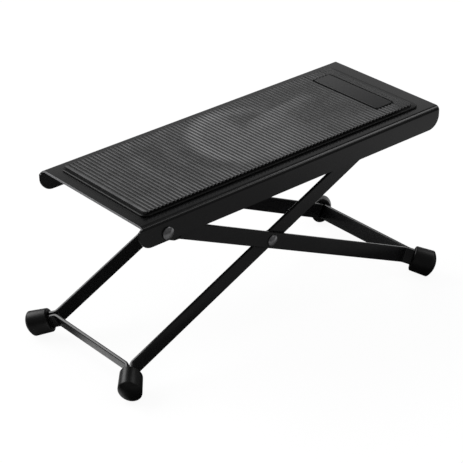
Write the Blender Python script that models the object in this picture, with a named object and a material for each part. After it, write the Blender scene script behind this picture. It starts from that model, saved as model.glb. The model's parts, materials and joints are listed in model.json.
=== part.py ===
"""Folding guitar footrest.

A pressed steel platform with a ribbed rubber mat stands on two crossed frames. Each frame is
one flat bar bent to a U, with a folded ear in a rubber cap at both corners. The outer frame
is riveted to the platform's low end, the inner frame is riveted to the outer one where they
cross, and the support rod at the inner frame's top stands under two notched racks.

The model is in metres with +Z up. It stands on its caps at z = 0, centred over x = 0 and
y = 0, with the platform's low end at -X.
"""

import math

import bmesh
import bpy
from mathutils import Matrix, Vector

# Platform: one pressed sheet, seen from above with its two long sides folded down
PLATFORM_LENGTH = 0.275
PLATFORM_WIDTH = 0.112
SHEET = 0.0015
BEND_RADIUS = 0.0027
FLANGE_DEPTH = 0.0167
FLANGE_CORNER_RADIUS = 0.010
FLANGE_REACH = 0.0016

# Linkage: pivot, crossing rivet and support rod make an isosceles triangle, whose tip, the
# crossing, lies below the line from pivot to rod by the crossing's drop
PIVOT_INSET = 0.0202
PIVOT_DEPTH = 0.0108
ARM_LENGTH = 0.1087
ROD_DEPTH = 0.0130
CROSSING_DROP = 0.04532
OUTER_REACH = 0.1547
INNER_REACH = 0.1367

# Flat bar of both frames, with edges rounded by a share of half its thickness
BAR_WIDTH = 0.012
BAR_THICKNESS = 0.0025
BAR_EDGE_SHARE = 0.88
BAR_BEND_RADIUS = 0.0040
LEG_INSET = 0.0081
FRAME_GAP = 0.0004
EAR_GAP = 0.0008
HIGH_EAR_SHIFT = 0.0015
JOGGLE_START = 0.0085
JOGGLE_RUN = 0.0105
JOGGLE_BEND_RADIUS = 0.0050

# Rubber cap on each ear: oval, wider towards its end, which is a low dome with a rounded edge
CAP_START = 0.0042
CAP_END = 0.0227
CAP_MOUTH_RADIUS = 0.00765
CAP_END_RADIUS = 0.0081
CAP_END_HALF_HEIGHT = 0.0104
CAP_RIM_RADIUS = 0.0012
CAP_EDGE_RADIUS = 0.0020
CAP_DOME_HEIGHT = 0.0054
CAP_FLOOR = 0.0039
CAP_FLAT_DEPTH = 0.0005
HIGH_CAP_SAG = 0.0008

# Rivets: solid, with a flat head outside and a swaged tail inside
SHANK_RADIUS = 0.0024
PIVOT_HEAD_RADIUS = 0.0045
PIVOT_HEAD_HEIGHT = 0.0021
CROSSING_HEAD_RADIUS = 0.0042
CROSSING_HEAD_HEIGHT = 0.0016
HEAD_EDGE_RADIUS = 0.0005
TAIL_RADIUS = 0.0038
TAIL_HEIGHT = 0.0015
TAIL_FLAT_SHARE = 0.6
TAIL_RIM_SHARE = 0.5
WASHER_RADIUS = 0.0055
PIVOT_WASHER_HEIGHT = 0.0010
CROSSING_WASHER_HEIGHT = 0.0008

# Support rod with a shoulder inside each leg, and the racks that it stands under
ROD_RADIUS = 0.0030
ROD_SPIGOT_RADIUS = 0.0022
ROD_CHAMFER = 0.0004
RACK_SHEET = 0.0020
RACK_HALF_SPAN = 0.0360
RACK_FOOT_WIDTH = 0.0110
RACK_END_RADIUS = 0.0040
NOTCH_PITCH = 0.0080
NOTCH_DEPTH = 0.0030
NOTCH_RADIUS = 0.0033
NOTCHES_BELOW = 1
NOTCHES_ABOVE = 4

# Ribbed mat, with a thin base that stands out all round and a smooth raised panel
MAT_END_MARGIN = 0.0086
MAT_SIDE_MARGIN = 0.0089
MAT_BASE_HEIGHT = 0.0011
MAT_BASE_RADIUS = 0.0075
MAT_LIP_WIDTH = 0.0021
MAT_HEIGHT = 0.0031
RIB_PITCH = 0.0032
RIB_HEIGHT = 0.0011
RIB_TOP_SHARE = 0.42
RIB_FLANK_SHARE = 0.16
PANEL_LENGTH = 0.0706
PANEL_WIDTH = 0.0177
PANEL_FROM_END = 0.0148
PANEL_PROUD = 0.0003
PANEL_MOAT = 0.0011
PANEL_RADIUS = 0.0015
PANEL_CHAMFER = 0.0004

# Clearances between pieces, and how far a cutter runs past what it cuts
SEAT_GAP = 0.0003
HOLE_CLEARANCE = 0.0003
OVERRUN = 0.0020
MERGE = 0.000001

# Facets on round forms
ROUND_STEPS = 28
HOLE_STEPS = 24
ARC_STEPS = 6
LEG_END_STEPS = 6
BISECTION_STEPS = 60

# Finishes: colour, roughness, metallic
COATED_STEEL = ((0.016, 0.016, 0.017), 0.42, 0.0)
PLATED_STEEL = ((0.10, 0.10, 0.105), 0.45, 0.8)
MAT_RUBBER = ((0.030, 0.030, 0.031), 0.62, 0.0)
CAP_RUBBER = ((0.010, 0.010, 0.011), 0.50, 0.0)

# Sizes that follow from the ones above
HALF_LENGTH = PLATFORM_LENGTH / 2
HALF_WIDTH = PLATFORM_WIDTH / 2
FLANGE_INNER = HALF_WIDTH - SHEET
OUTER_HALF_SPAN = HALF_WIDTH - LEG_INSET
OUTER_INNER_FACE = OUTER_HALF_SPAN - BAR_THICKNESS
INNER_HALF_SPAN = OUTER_INNER_FACE - FRAME_GAP
INNER_INNER_FACE = INNER_HALF_SPAN - BAR_THICKNESS
ROD_TO_PIVOT = 2 * math.sqrt(ARM_LENGTH ** 2 - CROSSING_DROP ** 2)
PIVOT_LEG_FACE = FLANGE_INNER - PIVOT_WASHER_HEIGHT - 2 * SEAT_GAP
EAR_HALF_GAP = (EAR_GAP + BAR_THICKNESS) / 2
HOLE_RADIUS = SHANK_RADIUS + HOLE_CLEARANCE
LEG_END_RADIUS = BAR_WIDTH / 2
CAP_EDGE_REACH = CAP_END_RADIUS - CAP_EDGE_RADIUS
CAP_EDGE_AT = CAP_END - CAP_DOME_HEIGHT
UPRIGHT = Matrix.Rotation(math.pi / 2, 4, "X")


def arc(centre, radius, start, end, steps):
    """Points on a circular arc in a plane, both ends included; angles in degrees."""
    angles = [math.radians(start + (end - start) * i / steps) for i in range(steps + 1)]
    return [(centre[0] + radius * math.cos(a), centre[1] + radius * math.sin(a)) for a in angles]


def rounded_rectangle(half_x, half_y, radius, steps=ARC_STEPS):
    """Outline of a rectangle with round corners, counter-clockwise."""
    outline = []
    for turn, (sign_x, sign_y) in enumerate(((1, 1), (-1, 1), (-1, -1), (1, -1))):
        corner = (sign_x * (half_x - radius), sign_y * (half_y - radius))
        outline += arc(corner, radius, 90 * turn, 90 * turn + 90, steps)
    return outline


def prism(outline, low, high):
    """Closed bmesh of an outline in X and Y, extruded from z = low to z = high."""
    bm = bmesh.new()
    bottom = [bm.verts.new((x, y, low)) for x, y in outline]
    face = bm.faces.new(bottom)
    grown = bmesh.ops.extrude_face_region(bm, geom=[face])
    top = [v for v in grown["geom"] if isinstance(v, bmesh.types.BMVert)]
    bmesh.ops.translate(bm, verts=top, vec=(0, 0, high - low))
    bmesh.ops.recalc_face_normals(bm, faces=bm.faces)
    return bm


def revolve(profile, steps=ROUND_STEPS):
    """Closed bmesh of (radius, height) points spun about Z; the ends lie on the axis."""
    bm = bmesh.new()
    points = [bm.verts.new((radius, 0, height)) for radius, height in profile]
    edges = [bm.edges.new(pair) for pair in zip(points, points[1:])]
    bmesh.ops.spin(bm, geom=points + edges, cent=(0, 0, 0), axis=(0, 0, 1), dvec=(0, 0, 0),
                   angle=2 * math.pi, steps=steps, use_duplicate=False)
    bmesh.ops.remove_doubles(bm, verts=bm.verts, dist=MERGE)
    bmesh.ops.recalc_face_normals(bm, faces=bm.faces)
    return bm


def filleted(corners, radius, steps):
    """Points of a flat path whose inner corners are rounded to a radius."""
    path = [Vector(corners[0])]
    for before, corner, after in zip(corners, corners[1:], corners[2:]):
        corner = Vector(corner)
        into = (corner - Vector(before)).normalized()
        out = (Vector(after) - corner).normalized()
        turn = into.angle_signed(out)
        reach = radius * math.tan(abs(turn) / 2)
        side = Vector((-into.y, into.x)) * (-1 if turn > 0 else 1)
        centre = corner - into * reach + side * radius
        start = corner - into * reach - centre
        for i in range(steps + 1):
            path.append(centre + Matrix.Rotation(-turn * i / steps, 2) @ start)
    path.append(Vector(corners[-1]))
    return path


def bar_section(half_thickness, half_width):
    """Rounded outline of a flat bar's section, across its thickness and its width."""
    radius = min(half_thickness * BAR_EDGE_SHARE, half_width / 2)
    return rounded_rectangle(half_thickness, half_width, radius, 2)


def bent_bar(path, half_widths):
    """Closed bmesh of a flat bar that follows a path in X and Y, with its width along Z."""
    bm = bmesh.new()
    rings = []
    for i, point in enumerate(path):
        before = (point - path[i - 1]).normalized() if i else None
        after = (path[i + 1] - point).normalized() if i + 1 < len(path) else None
        along = (before or after) + (after or before)
        along.normalize()
        across = Vector((-along.y, along.x))
        widen = 1 / across.dot(Vector((-(after or before).y, (after or before).x)))
        section = bar_section(BAR_THICKNESS / 2, half_widths[i])
        ring = [bm.verts.new((point.x + across.x * s * widen, point.y + across.y * s * widen, w))
                for s, w in section]
        rings.append(ring)
    for first, second in zip(rings, rings[1:]):
        for j in range(len(first)):
            k = (j + 1) % len(first)
            bm.faces.new((first[j], first[k], second[k], second[j]))
    bm.faces.new(reversed(rings[0]))
    bm.faces.new(rings[-1])
    bmesh.ops.recalc_face_normals(bm, faces=bm.faces)
    return bm


def leg_end(pivot_x, face_y):
    """Stations of a leg's rounded end about its pivot: points, and the bar's half width there."""
    points = []
    widths = []
    for i in range(1, LEG_END_STEPS + 1):
        angle = math.radians(90 * i / LEG_END_STEPS)
        points.append(Vector((pivot_x - LEG_END_RADIUS * math.cos(angle), face_y)))
        widths.append(LEG_END_RADIUS * math.sin(angle))
    return points, widths


def frame_path(reach, half_span, end_half_span, ear_shift):
    """Centre line and half widths of a U frame, in its own plane, with its pivot at x = 0.

    The feet are at +X. The near leg is at -Y and comes first. An ear is shifted sideways, away
    from the crossbar.
    """
    leg_y = half_span - BAR_THICKNESS / 2
    end_y = end_half_span - BAR_THICKNESS / 2
    corner_x = reach - BAR_THICKNESS / 2
    outward = Vector((1, -1)).normalized()
    to_leg = Vector((-1, -1)).normalized()
    ear_tip = CAP_END - CAP_FLOOR - BAR_THICKNESS / 2 - EAR_HALF_GAP
    corner = Vector((corner_x, -leg_y))
    middle = corner + to_leg * ear_shift
    tip = middle + outward * ear_tip
    ends, widths = leg_end(-ARM_LENGTH, -end_y)
    corners = [ends[-1]]
    if end_half_span != half_span:
        start = -ARM_LENGTH + JOGGLE_START
        corners += [Vector((start, -end_y)), Vector((start + JOGGLE_RUN, -leg_y))]
    joggled = filleted(corners + [corner - Vector((reach / 2, 0))], JOGGLE_BEND_RADIUS, 2)
    ear = [corner - Vector((reach / 2, 0)),
           corner - Vector((math.sqrt(2) * (EAR_HALF_GAP + ear_shift), 0)),
           tip + to_leg * EAR_HALF_GAP]
    leg_arm = filleted(ear, BAR_BEND_RADIUS, ARC_STEPS)[1:]
    hairpin = []
    for i in range(1, ARC_STEPS + 2):
        turn = Matrix.Rotation(math.pi * i / (ARC_STEPS + 2), 2)
        hairpin.append(tip + turn @ (to_leg * EAR_HALF_GAP))
    crossbar = [tip - to_leg * EAR_HALF_GAP,
                corner + Vector((0, math.sqrt(2) * (EAR_HALF_GAP - ear_shift))),
                Vector((corner_x, 0))]
    cross_arm = filleted(crossbar, BAR_BEND_RADIUS, ARC_STEPS)
    near = ends[:-1] + joggled[:-1] + leg_arm + hairpin + cross_arm
    widths = widths[:-1] + [BAR_WIDTH / 2] * (len(near) - len(widths) + 1)
    far = [Vector((p.x, -p.y)) for p in reversed(near[:-1])]
    return near + far, widths + list(reversed(widths[:-1]))


def material(name, finish):
    """Principled material with a finish's colour, roughness and metallic value."""
    colour, roughness, metallic = finish
    made = bpy.data.materials.new(name)
    made.use_nodes = True
    shader = made.node_tree.nodes["Principled BSDF"]
    shader.inputs["Base Color"].default_value = (*colour, 1.0)
    shader.inputs["Roughness"].default_value = roughness
    shader.inputs["Metallic"].default_value = metallic
    return made


def add(name, bm, parent, place=Matrix.Identity(4), finish=None):
    """Object made of a bmesh, placed under its parent; without a finish it is a cutter."""
    mesh = bpy.data.meshes.new(name)
    bm.to_mesh(mesh)
    bm.free()
    mesh.shade_smooth()
    mesh.set_sharp_from_angle(angle=math.radians(32))
    made = bpy.data.objects.new(name, mesh)
    bpy.context.collection.objects.link(made)
    made.parent = parent
    made.matrix_local = place
    if finish is None:
        made.hide_render = True
        made.display_type = "WIRE"
    else:
        mesh.materials.append(material(name, finish))
    return made


def combine(target, operation, cutter):
    """Boolean modifier that cuts, joins or intersects the target with another object."""
    modifier = target.modifiers.new(cutter.name, "BOOLEAN")
    modifier.operation = operation
    modifier.solver = "EXACT"
    modifier.object = cutter


def empty(name, parent, place):
    """Axis or root that pieces hang from."""
    made = bpy.data.objects.new(name, None)
    made.empty_display_size = BAR_WIDTH
    bpy.context.collection.objects.link(made)
    made.parent = parent
    made.matrix_local = place
    return made


def across(x, y, z):
    """Placement that turns a piece's Z axis to +Y, the way all pivots run, and sets it at a point."""
    return Matrix.Translation((x, y, z)) @ Matrix.Rotation(-math.pi / 2, 4, "X")


def pin_cutter(name, parent, x, z, radius, reach):
    """Round cutter along Y, through both legs or flanges."""
    bm = prism(arc((0, 0), radius, 0, 360, HOLE_STEPS)[:-1], -reach, reach)
    return add(name, bm, parent, across(x, 0, z))


class Linkage:
    """Where the pivot, the crossing and the rod stand, and how the platform tilts.

    Angles are in radians. Points are (x, z) in the platform's frame, whose origin is the
    middle of its top face.
    """

    def __init__(self):
        base = math.asin(CROSSING_DROP / ARM_LENGTH)
        drop = math.asin((ROD_DEPTH - PIVOT_DEPTH) / ROD_TO_PIVOT)
        self.outer_slope = base + drop
        self.inner_slope = base - drop
        self.rack_slope = drop
        self.pivot = (PIVOT_INSET - HALF_LENGTH, -PIVOT_DEPTH)
        self.crossing = (self.pivot[0] + ARM_LENGTH * math.cos(self.outer_slope),
                         self.pivot[1] - ARM_LENGTH * math.sin(self.outer_slope))
        self.rod = (self.pivot[0] + ROD_TO_PIVOT * math.cos(drop),
                    self.pivot[1] - ROD_TO_PIVOT * math.sin(drop))
        self.tilt = self.find_tilt()
        self.crossing_height = self.outer_drop(self.tilt) - CAP_FLAT_DEPTH

    @staticmethod
    def foot_drop(reach, slope, ear_shift, sag):
        """How far a cap's lowest point lies below the crossing, for a leg at this slope."""
        dip = math.sin(slope) / math.sqrt(2)
        spread = math.hypot(dip, math.cos(slope) * CAP_END_HALF_HEIGHT / CAP_END_RADIUS)
        corner = (reach - BAR_THICKNESS / 2 - ear_shift / math.sqrt(2)) * math.sin(slope)
        corner += sag * math.cos(slope)
        edge = CAP_EDGE_AT * dip + CAP_EDGE_REACH * spread
        return corner + edge + CAP_EDGE_RADIUS * math.hypot(spread, dip)

    def outer_drop(self, tilt):
        """How far the high caps reach below the crossing at a tilt of the platform."""
        return self.foot_drop(OUTER_REACH, self.outer_slope - tilt, HIGH_EAR_SHIFT, HIGH_CAP_SAG)

    def inner_drop(self, tilt):
        """How far the low caps reach below the crossing at a tilt of the platform."""
        return self.foot_drop(INNER_REACH, self.inner_slope + tilt, 0, 0)

    def find_tilt(self):
        """Tilt of the platform that lets both pairs of caps stand level."""
        low = -self.inner_slope
        high = self.outer_slope
        for _ in range(BISECTION_STEPS):
            middle = (low + high) / 2
            if self.outer_drop(middle) > self.inner_drop(middle):
                low = middle
            else:
                high = middle
        return (low + high) / 2


def side_outline():
    """Platform's side profile in X and Z: the flanges reach a little past the top's low end."""
    corner_z = FLANGE_CORNER_RADIUS - FLANGE_DEPTH
    low_x = FLANGE_CORNER_RADIUS - HALF_LENGTH - FLANGE_REACH
    high_x = HALF_LENGTH - FLANGE_CORNER_RADIUS
    outline = [(-HALF_LENGTH, OVERRUN), (-HALF_LENGTH, -SHEET),
               (-HALF_LENGTH - FLANGE_REACH, -SHEET - FLANGE_REACH)]
    outline += arc((low_x, corner_z), FLANGE_CORNER_RADIUS, 180, 270, ARC_STEPS)
    outline += arc((high_x, corner_z), FLANGE_CORNER_RADIUS, 270, 360, ARC_STEPS)
    outline.append((HALF_LENGTH, OVERRUN))
    return outline


def build_platform(axis, place):
    """Sheet bent down along both long sides, with round lower corners and two rivet holes."""
    radius = BEND_RADIUS - SHEET
    bend_y = HALF_WIDTH - BEND_RADIUS
    outer = arc((bend_y, -BEND_RADIUS), BEND_RADIUS, 90, 0, ARC_STEPS)
    inner = arc((bend_y, -BEND_RADIUS), radius, 0, 90, ARC_STEPS)
    bottom = -FLANGE_DEPTH - OVERRUN
    right = outer + [(HALF_WIDTH, bottom), (FLANGE_INNER, bottom)] + inner
    outline = right + [(-y, z) for y, z in reversed(right)]
    along_x = Matrix(((0, 0, 1, 0), (1, 0, 0, 0), (0, 1, 0, 0), (0, 0, 0, 1)))
    bm = prism(outline, -HALF_LENGTH - FLANGE_REACH - OVERRUN, HALF_LENGTH + OVERRUN)
    bmesh.ops.transform(bm, matrix=along_x, verts=bm.verts)
    bmesh.ops.recalc_face_normals(bm, faces=bm.faces)
    platform = add("platform", bm, axis, place, COATED_STEEL)
    profile = prism(side_outline(), -PLATFORM_WIDTH, PLATFORM_WIDTH)
    combine(platform, "INTERSECT", add("side_profile", profile, axis, place @ UPRIGHT))
    holes = pin_cutter("pivot_holes", axis, 0, 0, HOLE_RADIUS, PLATFORM_WIDTH)
    combine(platform, "DIFFERENCE", holes)
    return platform


def rib_outline(half_length):
    """Saw profile of the ribs in X and Z, closed along the mat's base."""
    count = round(2 * half_length / RIB_PITCH)
    pitch = 2 * half_length / count
    valley = MAT_HEIGHT - RIB_HEIGHT
    gap = (1 - RIB_TOP_SHARE) * pitch / 2
    flank = RIB_FLANK_SHARE * pitch
    outline = [(-half_length, MAT_BASE_HEIGHT / 2)]
    for i in range(count):
        left = -half_length + i * pitch
        right = left + pitch
        start = left + gap - flank if i else left
        stop = right - gap + flank if i + 1 < count else right
        outline += [(start, valley), (left + gap, MAT_HEIGHT),
                    (right - gap, MAT_HEIGHT), (stop, valley)]
    outline.append((half_length, MAT_BASE_HEIGHT / 2))
    return outline


def build_mat(axis, place):
    """Rubber mat: thin base, ribs from end to end across it, and a smooth panel at the high end."""
    base_x = HALF_LENGTH - MAT_END_MARGIN
    base_y = HALF_WIDTH - MAT_SIDE_MARGIN
    half_x = base_x - MAT_LIP_WIDTH
    half_y = base_y - MAT_LIP_WIDTH
    inner_radius = MAT_BASE_RADIUS - MAT_LIP_WIDTH
    seat = place @ Matrix.Translation((0, 0, SEAT_GAP))
    ribs = prism(rib_outline(half_x), -base_y, base_y)
    bmesh.ops.transform(ribs, matrix=UPRIGHT, verts=ribs.verts)
    mat = add("mat", ribs, axis, seat, MAT_RUBBER)
    block = prism(rounded_rectangle(half_x - MERGE, half_y, inner_radius, 4), -MAT_HEIGHT,
                  2 * MAT_HEIGHT)
    combine(mat, "INTERSECT", add("mat_block", block, axis, seat))
    base = prism(rounded_rectangle(base_x, base_y, MAT_BASE_RADIUS, 4), 0, MAT_BASE_HEIGHT)
    combine(mat, "UNION", add("mat_base", base, axis, seat))
    panel_x = half_x - PANEL_FROM_END - PANEL_WIDTH / 2
    centre = seat @ Matrix.Translation((panel_x, 0, 0))
    valley = MAT_HEIGHT - RIB_HEIGHT - PANEL_PROUD
    moat = prism(rounded_rectangle(PANEL_WIDTH / 2 + PANEL_MOAT, PANEL_LENGTH / 2 + PANEL_MOAT,
                                   PANEL_RADIUS + PANEL_MOAT, 3), valley, 2 * MAT_HEIGHT)
    combine(mat, "DIFFERENCE", add("panel_moat", moat, axis, centre))
    top = MAT_HEIGHT + PANEL_PROUD
    panel = prism(rounded_rectangle(PANEL_WIDTH / 2, PANEL_LENGTH / 2, PANEL_RADIUS, 3),
                  MAT_BASE_HEIGHT / 2, top)
    rim = [e for e in panel.edges if min(v.co.z for v in e.verts) > top - MERGE]
    bmesh.ops.bevel(panel, geom=rim, offset=PANEL_CHAMFER, segments=1, affect="EDGES")
    combine(mat, "UNION", add("panel", panel, axis, centre))
    return mat


def rack_outline(linkage):
    """Side profile of a rack in X and Z about the rod, with a notch above every rod place."""
    tip = ROD_RADIUS + SEAT_GAP
    top = ROD_DEPTH - SHEET - SEAT_GAP
    low_x = -NOTCHES_ABOVE * NOTCH_PITCH - NOTCH_PITCH
    high_x = NOTCHES_BELOW * NOTCH_PITCH + NOTCH_PITCH
    half_angle = math.degrees(math.acos((NOTCH_RADIUS - NOTCH_DEPTH) / NOTCH_RADIUS))
    mouth = [(low_x, top), (low_x, tip + RACK_END_RADIUS)]
    mouth += arc((low_x + RACK_END_RADIUS, tip + RACK_END_RADIUS), RACK_END_RADIUS, 180, 270, 4)[1:]
    for i in range(-NOTCHES_ABOVE, NOTCHES_BELOW + 1):
        centre = (i * NOTCH_PITCH, tip + NOTCH_DEPTH - NOTCH_RADIUS)
        mouth += arc(centre, NOTCH_RADIUS, 90 + half_angle, 90 - half_angle, ARC_STEPS + 2)
    mouth += arc((high_x - RACK_END_RADIUS, tip + RACK_END_RADIUS), RACK_END_RADIUS, 270, 360, 4)[:-1]
    mouth += [(high_x, tip + RACK_END_RADIUS), (high_x, top)]
    turned = Matrix.Rotation(-linkage.rack_slope, 2)
    lean = [turned @ Vector(p) for p in mouth[1:-1]]
    return [Vector((low_x, top))] + lean + [Vector((high_x, top))]


def build_rack(name, axis, place, linkage, side):
    """Notched steel angle under the platform: an upright web and a foot against the sheet."""
    rod_place = place @ Matrix.Translation((linkage.rod[0], 0, linkage.rod[1]))
    outline = rack_outline(linkage)
    web = prism(outline, -RACK_SHEET / 2, RACK_SHEET / 2)
    upright = Matrix.Translation((0, side * RACK_HALF_SPAN, 0)) @ UPRIGHT
    rack = add(name, web, axis, rod_place @ upright, COATED_STEEL)
    low_x = outline[0].x
    high_x = outline[-1].x
    top = outline[0].y
    foot_y = side * (RACK_HALF_SPAN - (RACK_FOOT_WIDTH - RACK_SHEET) / 2)
    foot = prism(rounded_rectangle((high_x - low_x) / 2 - SEAT_GAP, RACK_FOOT_WIDTH / 2,
                                   RACK_END_RADIUS / 2, 3), top - RACK_SHEET, top + MERGE)
    centre = Matrix.Translation(((low_x + high_x) / 2, foot_y, 0))
    plate = add(name + "_foot", foot, axis, rod_place @ centre)
    combine(rack, "UNION", plate)
    return rack


def build_frame(name, axis, reach, half_span, end_half_span, ear_shift):
    """One flat bar bent to a U, with its folded ears, and holes for its rivets or rod."""
    path, widths = frame_path(reach, half_span, end_half_span, ear_shift)
    frame = add(name, bent_bar(path, widths), axis, Matrix.Identity(4), COATED_STEEL)
    holes = ((name + "_crossing_holes", 0), (name + "_end_holes", -ARM_LENGTH))
    for hole_name, x in holes:
        combine(frame, "DIFFERENCE", pin_cutter(hole_name, axis, x, 0, HOLE_RADIUS, HALF_WIDTH))
    return frame


def cap_profile():
    """Half section of a cap as (radius, distance along the ear), from its mouth to its end."""
    rim = (CAP_MOUTH_RADIUS - CAP_RIM_RADIUS, CAP_START + CAP_RIM_RADIUS)
    rise = CAP_EDGE_REACH ** 2 + CAP_DOME_HEIGHT ** 2 - CAP_EDGE_RADIUS ** 2
    dome_radius = rise / (2 * (CAP_DOME_HEIGHT - CAP_EDGE_RADIUS))
    turn = math.degrees(math.atan2(dome_radius - CAP_DOME_HEIGHT, CAP_EDGE_REACH))
    profile = [(0, CAP_START)]
    profile += arc(rim, CAP_RIM_RADIUS, 270, 360, 3)
    profile += arc((CAP_EDGE_REACH, CAP_EDGE_AT), CAP_EDGE_RADIUS, 0, turn, 2)
    profile += arc((0, CAP_END - dome_radius), dome_radius, turn, 90, 4)[1:-1]
    profile.append((0, CAP_END))
    return profile


def build_cap(name, axis, reach, half_span, side, ear_shift, sag):
    """Moulded rubber cap over one ear, cut flat where it stands on the floor.

    The cap sits lower on its ear by the sag.
    """
    corner = Vector((reach - BAR_THICKNESS / 2, side * (half_span - BAR_THICKNESS / 2), 0))
    outward = Vector((1, side, 0)).normalized()
    corner += Vector((-1, side, 0)).normalized() * ear_shift
    sideways = Vector((0, 0, 1)).cross(outward)
    turn = Matrix((sideways, Vector((0, 0, 1)), outward)).transposed().to_4x4()
    place = Matrix.Translation(corner) @ turn
    bm = revolve(cap_profile())
    oval = (1, CAP_END_HALF_HEIGHT / CAP_END_RADIUS, 1)
    bmesh.ops.scale(bm, verts=bm.verts, vec=oval)
    bmesh.ops.translate(bm, verts=bm.verts, vec=(0, -sag, 0))
    floor_at = (axis.matrix_world @ place).inverted()
    cut = bmesh.ops.bisect_plane(bm, geom=bm.verts[:] + bm.edges[:] + bm.faces[:], dist=MERGE,
                                 plane_co=floor_at @ Vector((0, 0, 0)),
                                 plane_no=floor_at.to_3x3() @ Vector((0, 0, -1)),
                                 clear_outer=True)
    rim = [e for e in cut["geom_cut"] if isinstance(e, bmesh.types.BMEdge)]
    bmesh.ops.contextual_create(bm, geom=rim)
    bmesh.ops.recalc_face_normals(bm, faces=bm.faces)
    cap = add(name, bm, axis, place, CAP_RUBBER)
    slot = rounded_rectangle(EAR_HALF_GAP + BAR_THICKNESS / 2 + SEAT_GAP,
                             BAR_WIDTH / 2 + SEAT_GAP, EAR_GAP, 3)
    bottom = CAP_END - CAP_FLOOR + SEAT_GAP
    cutter = add(name + "_slot", prism(slot, CAP_START - OVERRUN, bottom), axis, place)
    combine(cap, "DIFFERENCE", cutter)
    return cap


def rivet_profile(head_radius, head_height, grip):
    """Half section of a rivet as (radius, height): head at the top, swaged tail below its grip."""
    edge = HEAD_EDGE_RADIUS
    profile = [(0, -grip - TAIL_HEIGHT), (TAIL_RADIUS * TAIL_FLAT_SHARE, -grip - TAIL_HEIGHT),
               (TAIL_RADIUS, -grip - TAIL_HEIGHT * TAIL_RIM_SHARE), (TAIL_RADIUS, -grip),
               (SHANK_RADIUS, -grip), (SHANK_RADIUS, 0), (head_radius, 0)]
    profile += arc((head_radius - edge, head_height - edge), edge, 0, 90, 3)
    profile.append((0, head_height))
    return profile


def build_rivet(name, axis, side, seat, grip, head_radius, head_height):
    """Rivet along Y whose head stands outside and whose tail holds the stack's inner face."""
    bm = revolve(rivet_profile(head_radius, head_height, grip))
    place = across(0, seat, 0)
    if side < 0:
        place = Matrix.Rotation(math.pi, 4, "Z") @ place
    return add(name, bm, axis, place, PLATED_STEEL)


def build_washer(name, axis, side, inner_face, height):
    """Flat washer round a rivet's shank, from its inner face outwards."""
    profile = arc((0, 0), WASHER_RADIUS, 0, 360, ROUND_STEPS)[:-1]
    place = across(0, inner_face, 0)
    if side < 0:
        place = Matrix.Rotation(math.pi, 4, "Z") @ place
    washer = add(name, prism(profile, 0, height), axis, place, PLATED_STEEL)
    bore = prism(arc((0, 0), HOLE_RADIUS, 0, 360, HOLE_STEPS)[:-1], -OVERRUN, height + OVERRUN)
    combine(washer, "DIFFERENCE", add(name + "_bore", bore, axis, place))
    return washer


def build_rod(axis):
    """Round rod between the inner frame's legs, with a thinner spigot through each hole."""
    shoulder = INNER_INNER_FACE - SEAT_GAP
    end = INNER_HALF_SPAN
    half = [(ROD_RADIUS, shoulder), (ROD_SPIGOT_RADIUS, shoulder),
            (ROD_SPIGOT_RADIUS, end - ROD_CHAMFER), (ROD_SPIGOT_RADIUS - ROD_CHAMFER, end), (0, end)]
    profile = [(r, -y) for r, y in reversed(half)] + half
    return add("support_rod", revolve(profile), axis, across(-ARM_LENGTH, 0, 0), PLATED_STEEL)


def centre_over_origin(root):
    """Slide the whole footrest along X until its box is centred over x = 0."""
    bpy.context.view_layer.update()
    scene = bpy.context.evaluated_depsgraph_get()
    xs = []
    for piece in bpy.data.objects:
        if piece.type == "MESH" and not piece.hide_render:
            shape = piece.evaluated_get(scene)
            xs += [(shape.matrix_world @ v.co).x for v in shape.data.vertices]
    root.location.x -= (min(xs) + max(xs)) / 2
    bpy.context.view_layer.update()


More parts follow.
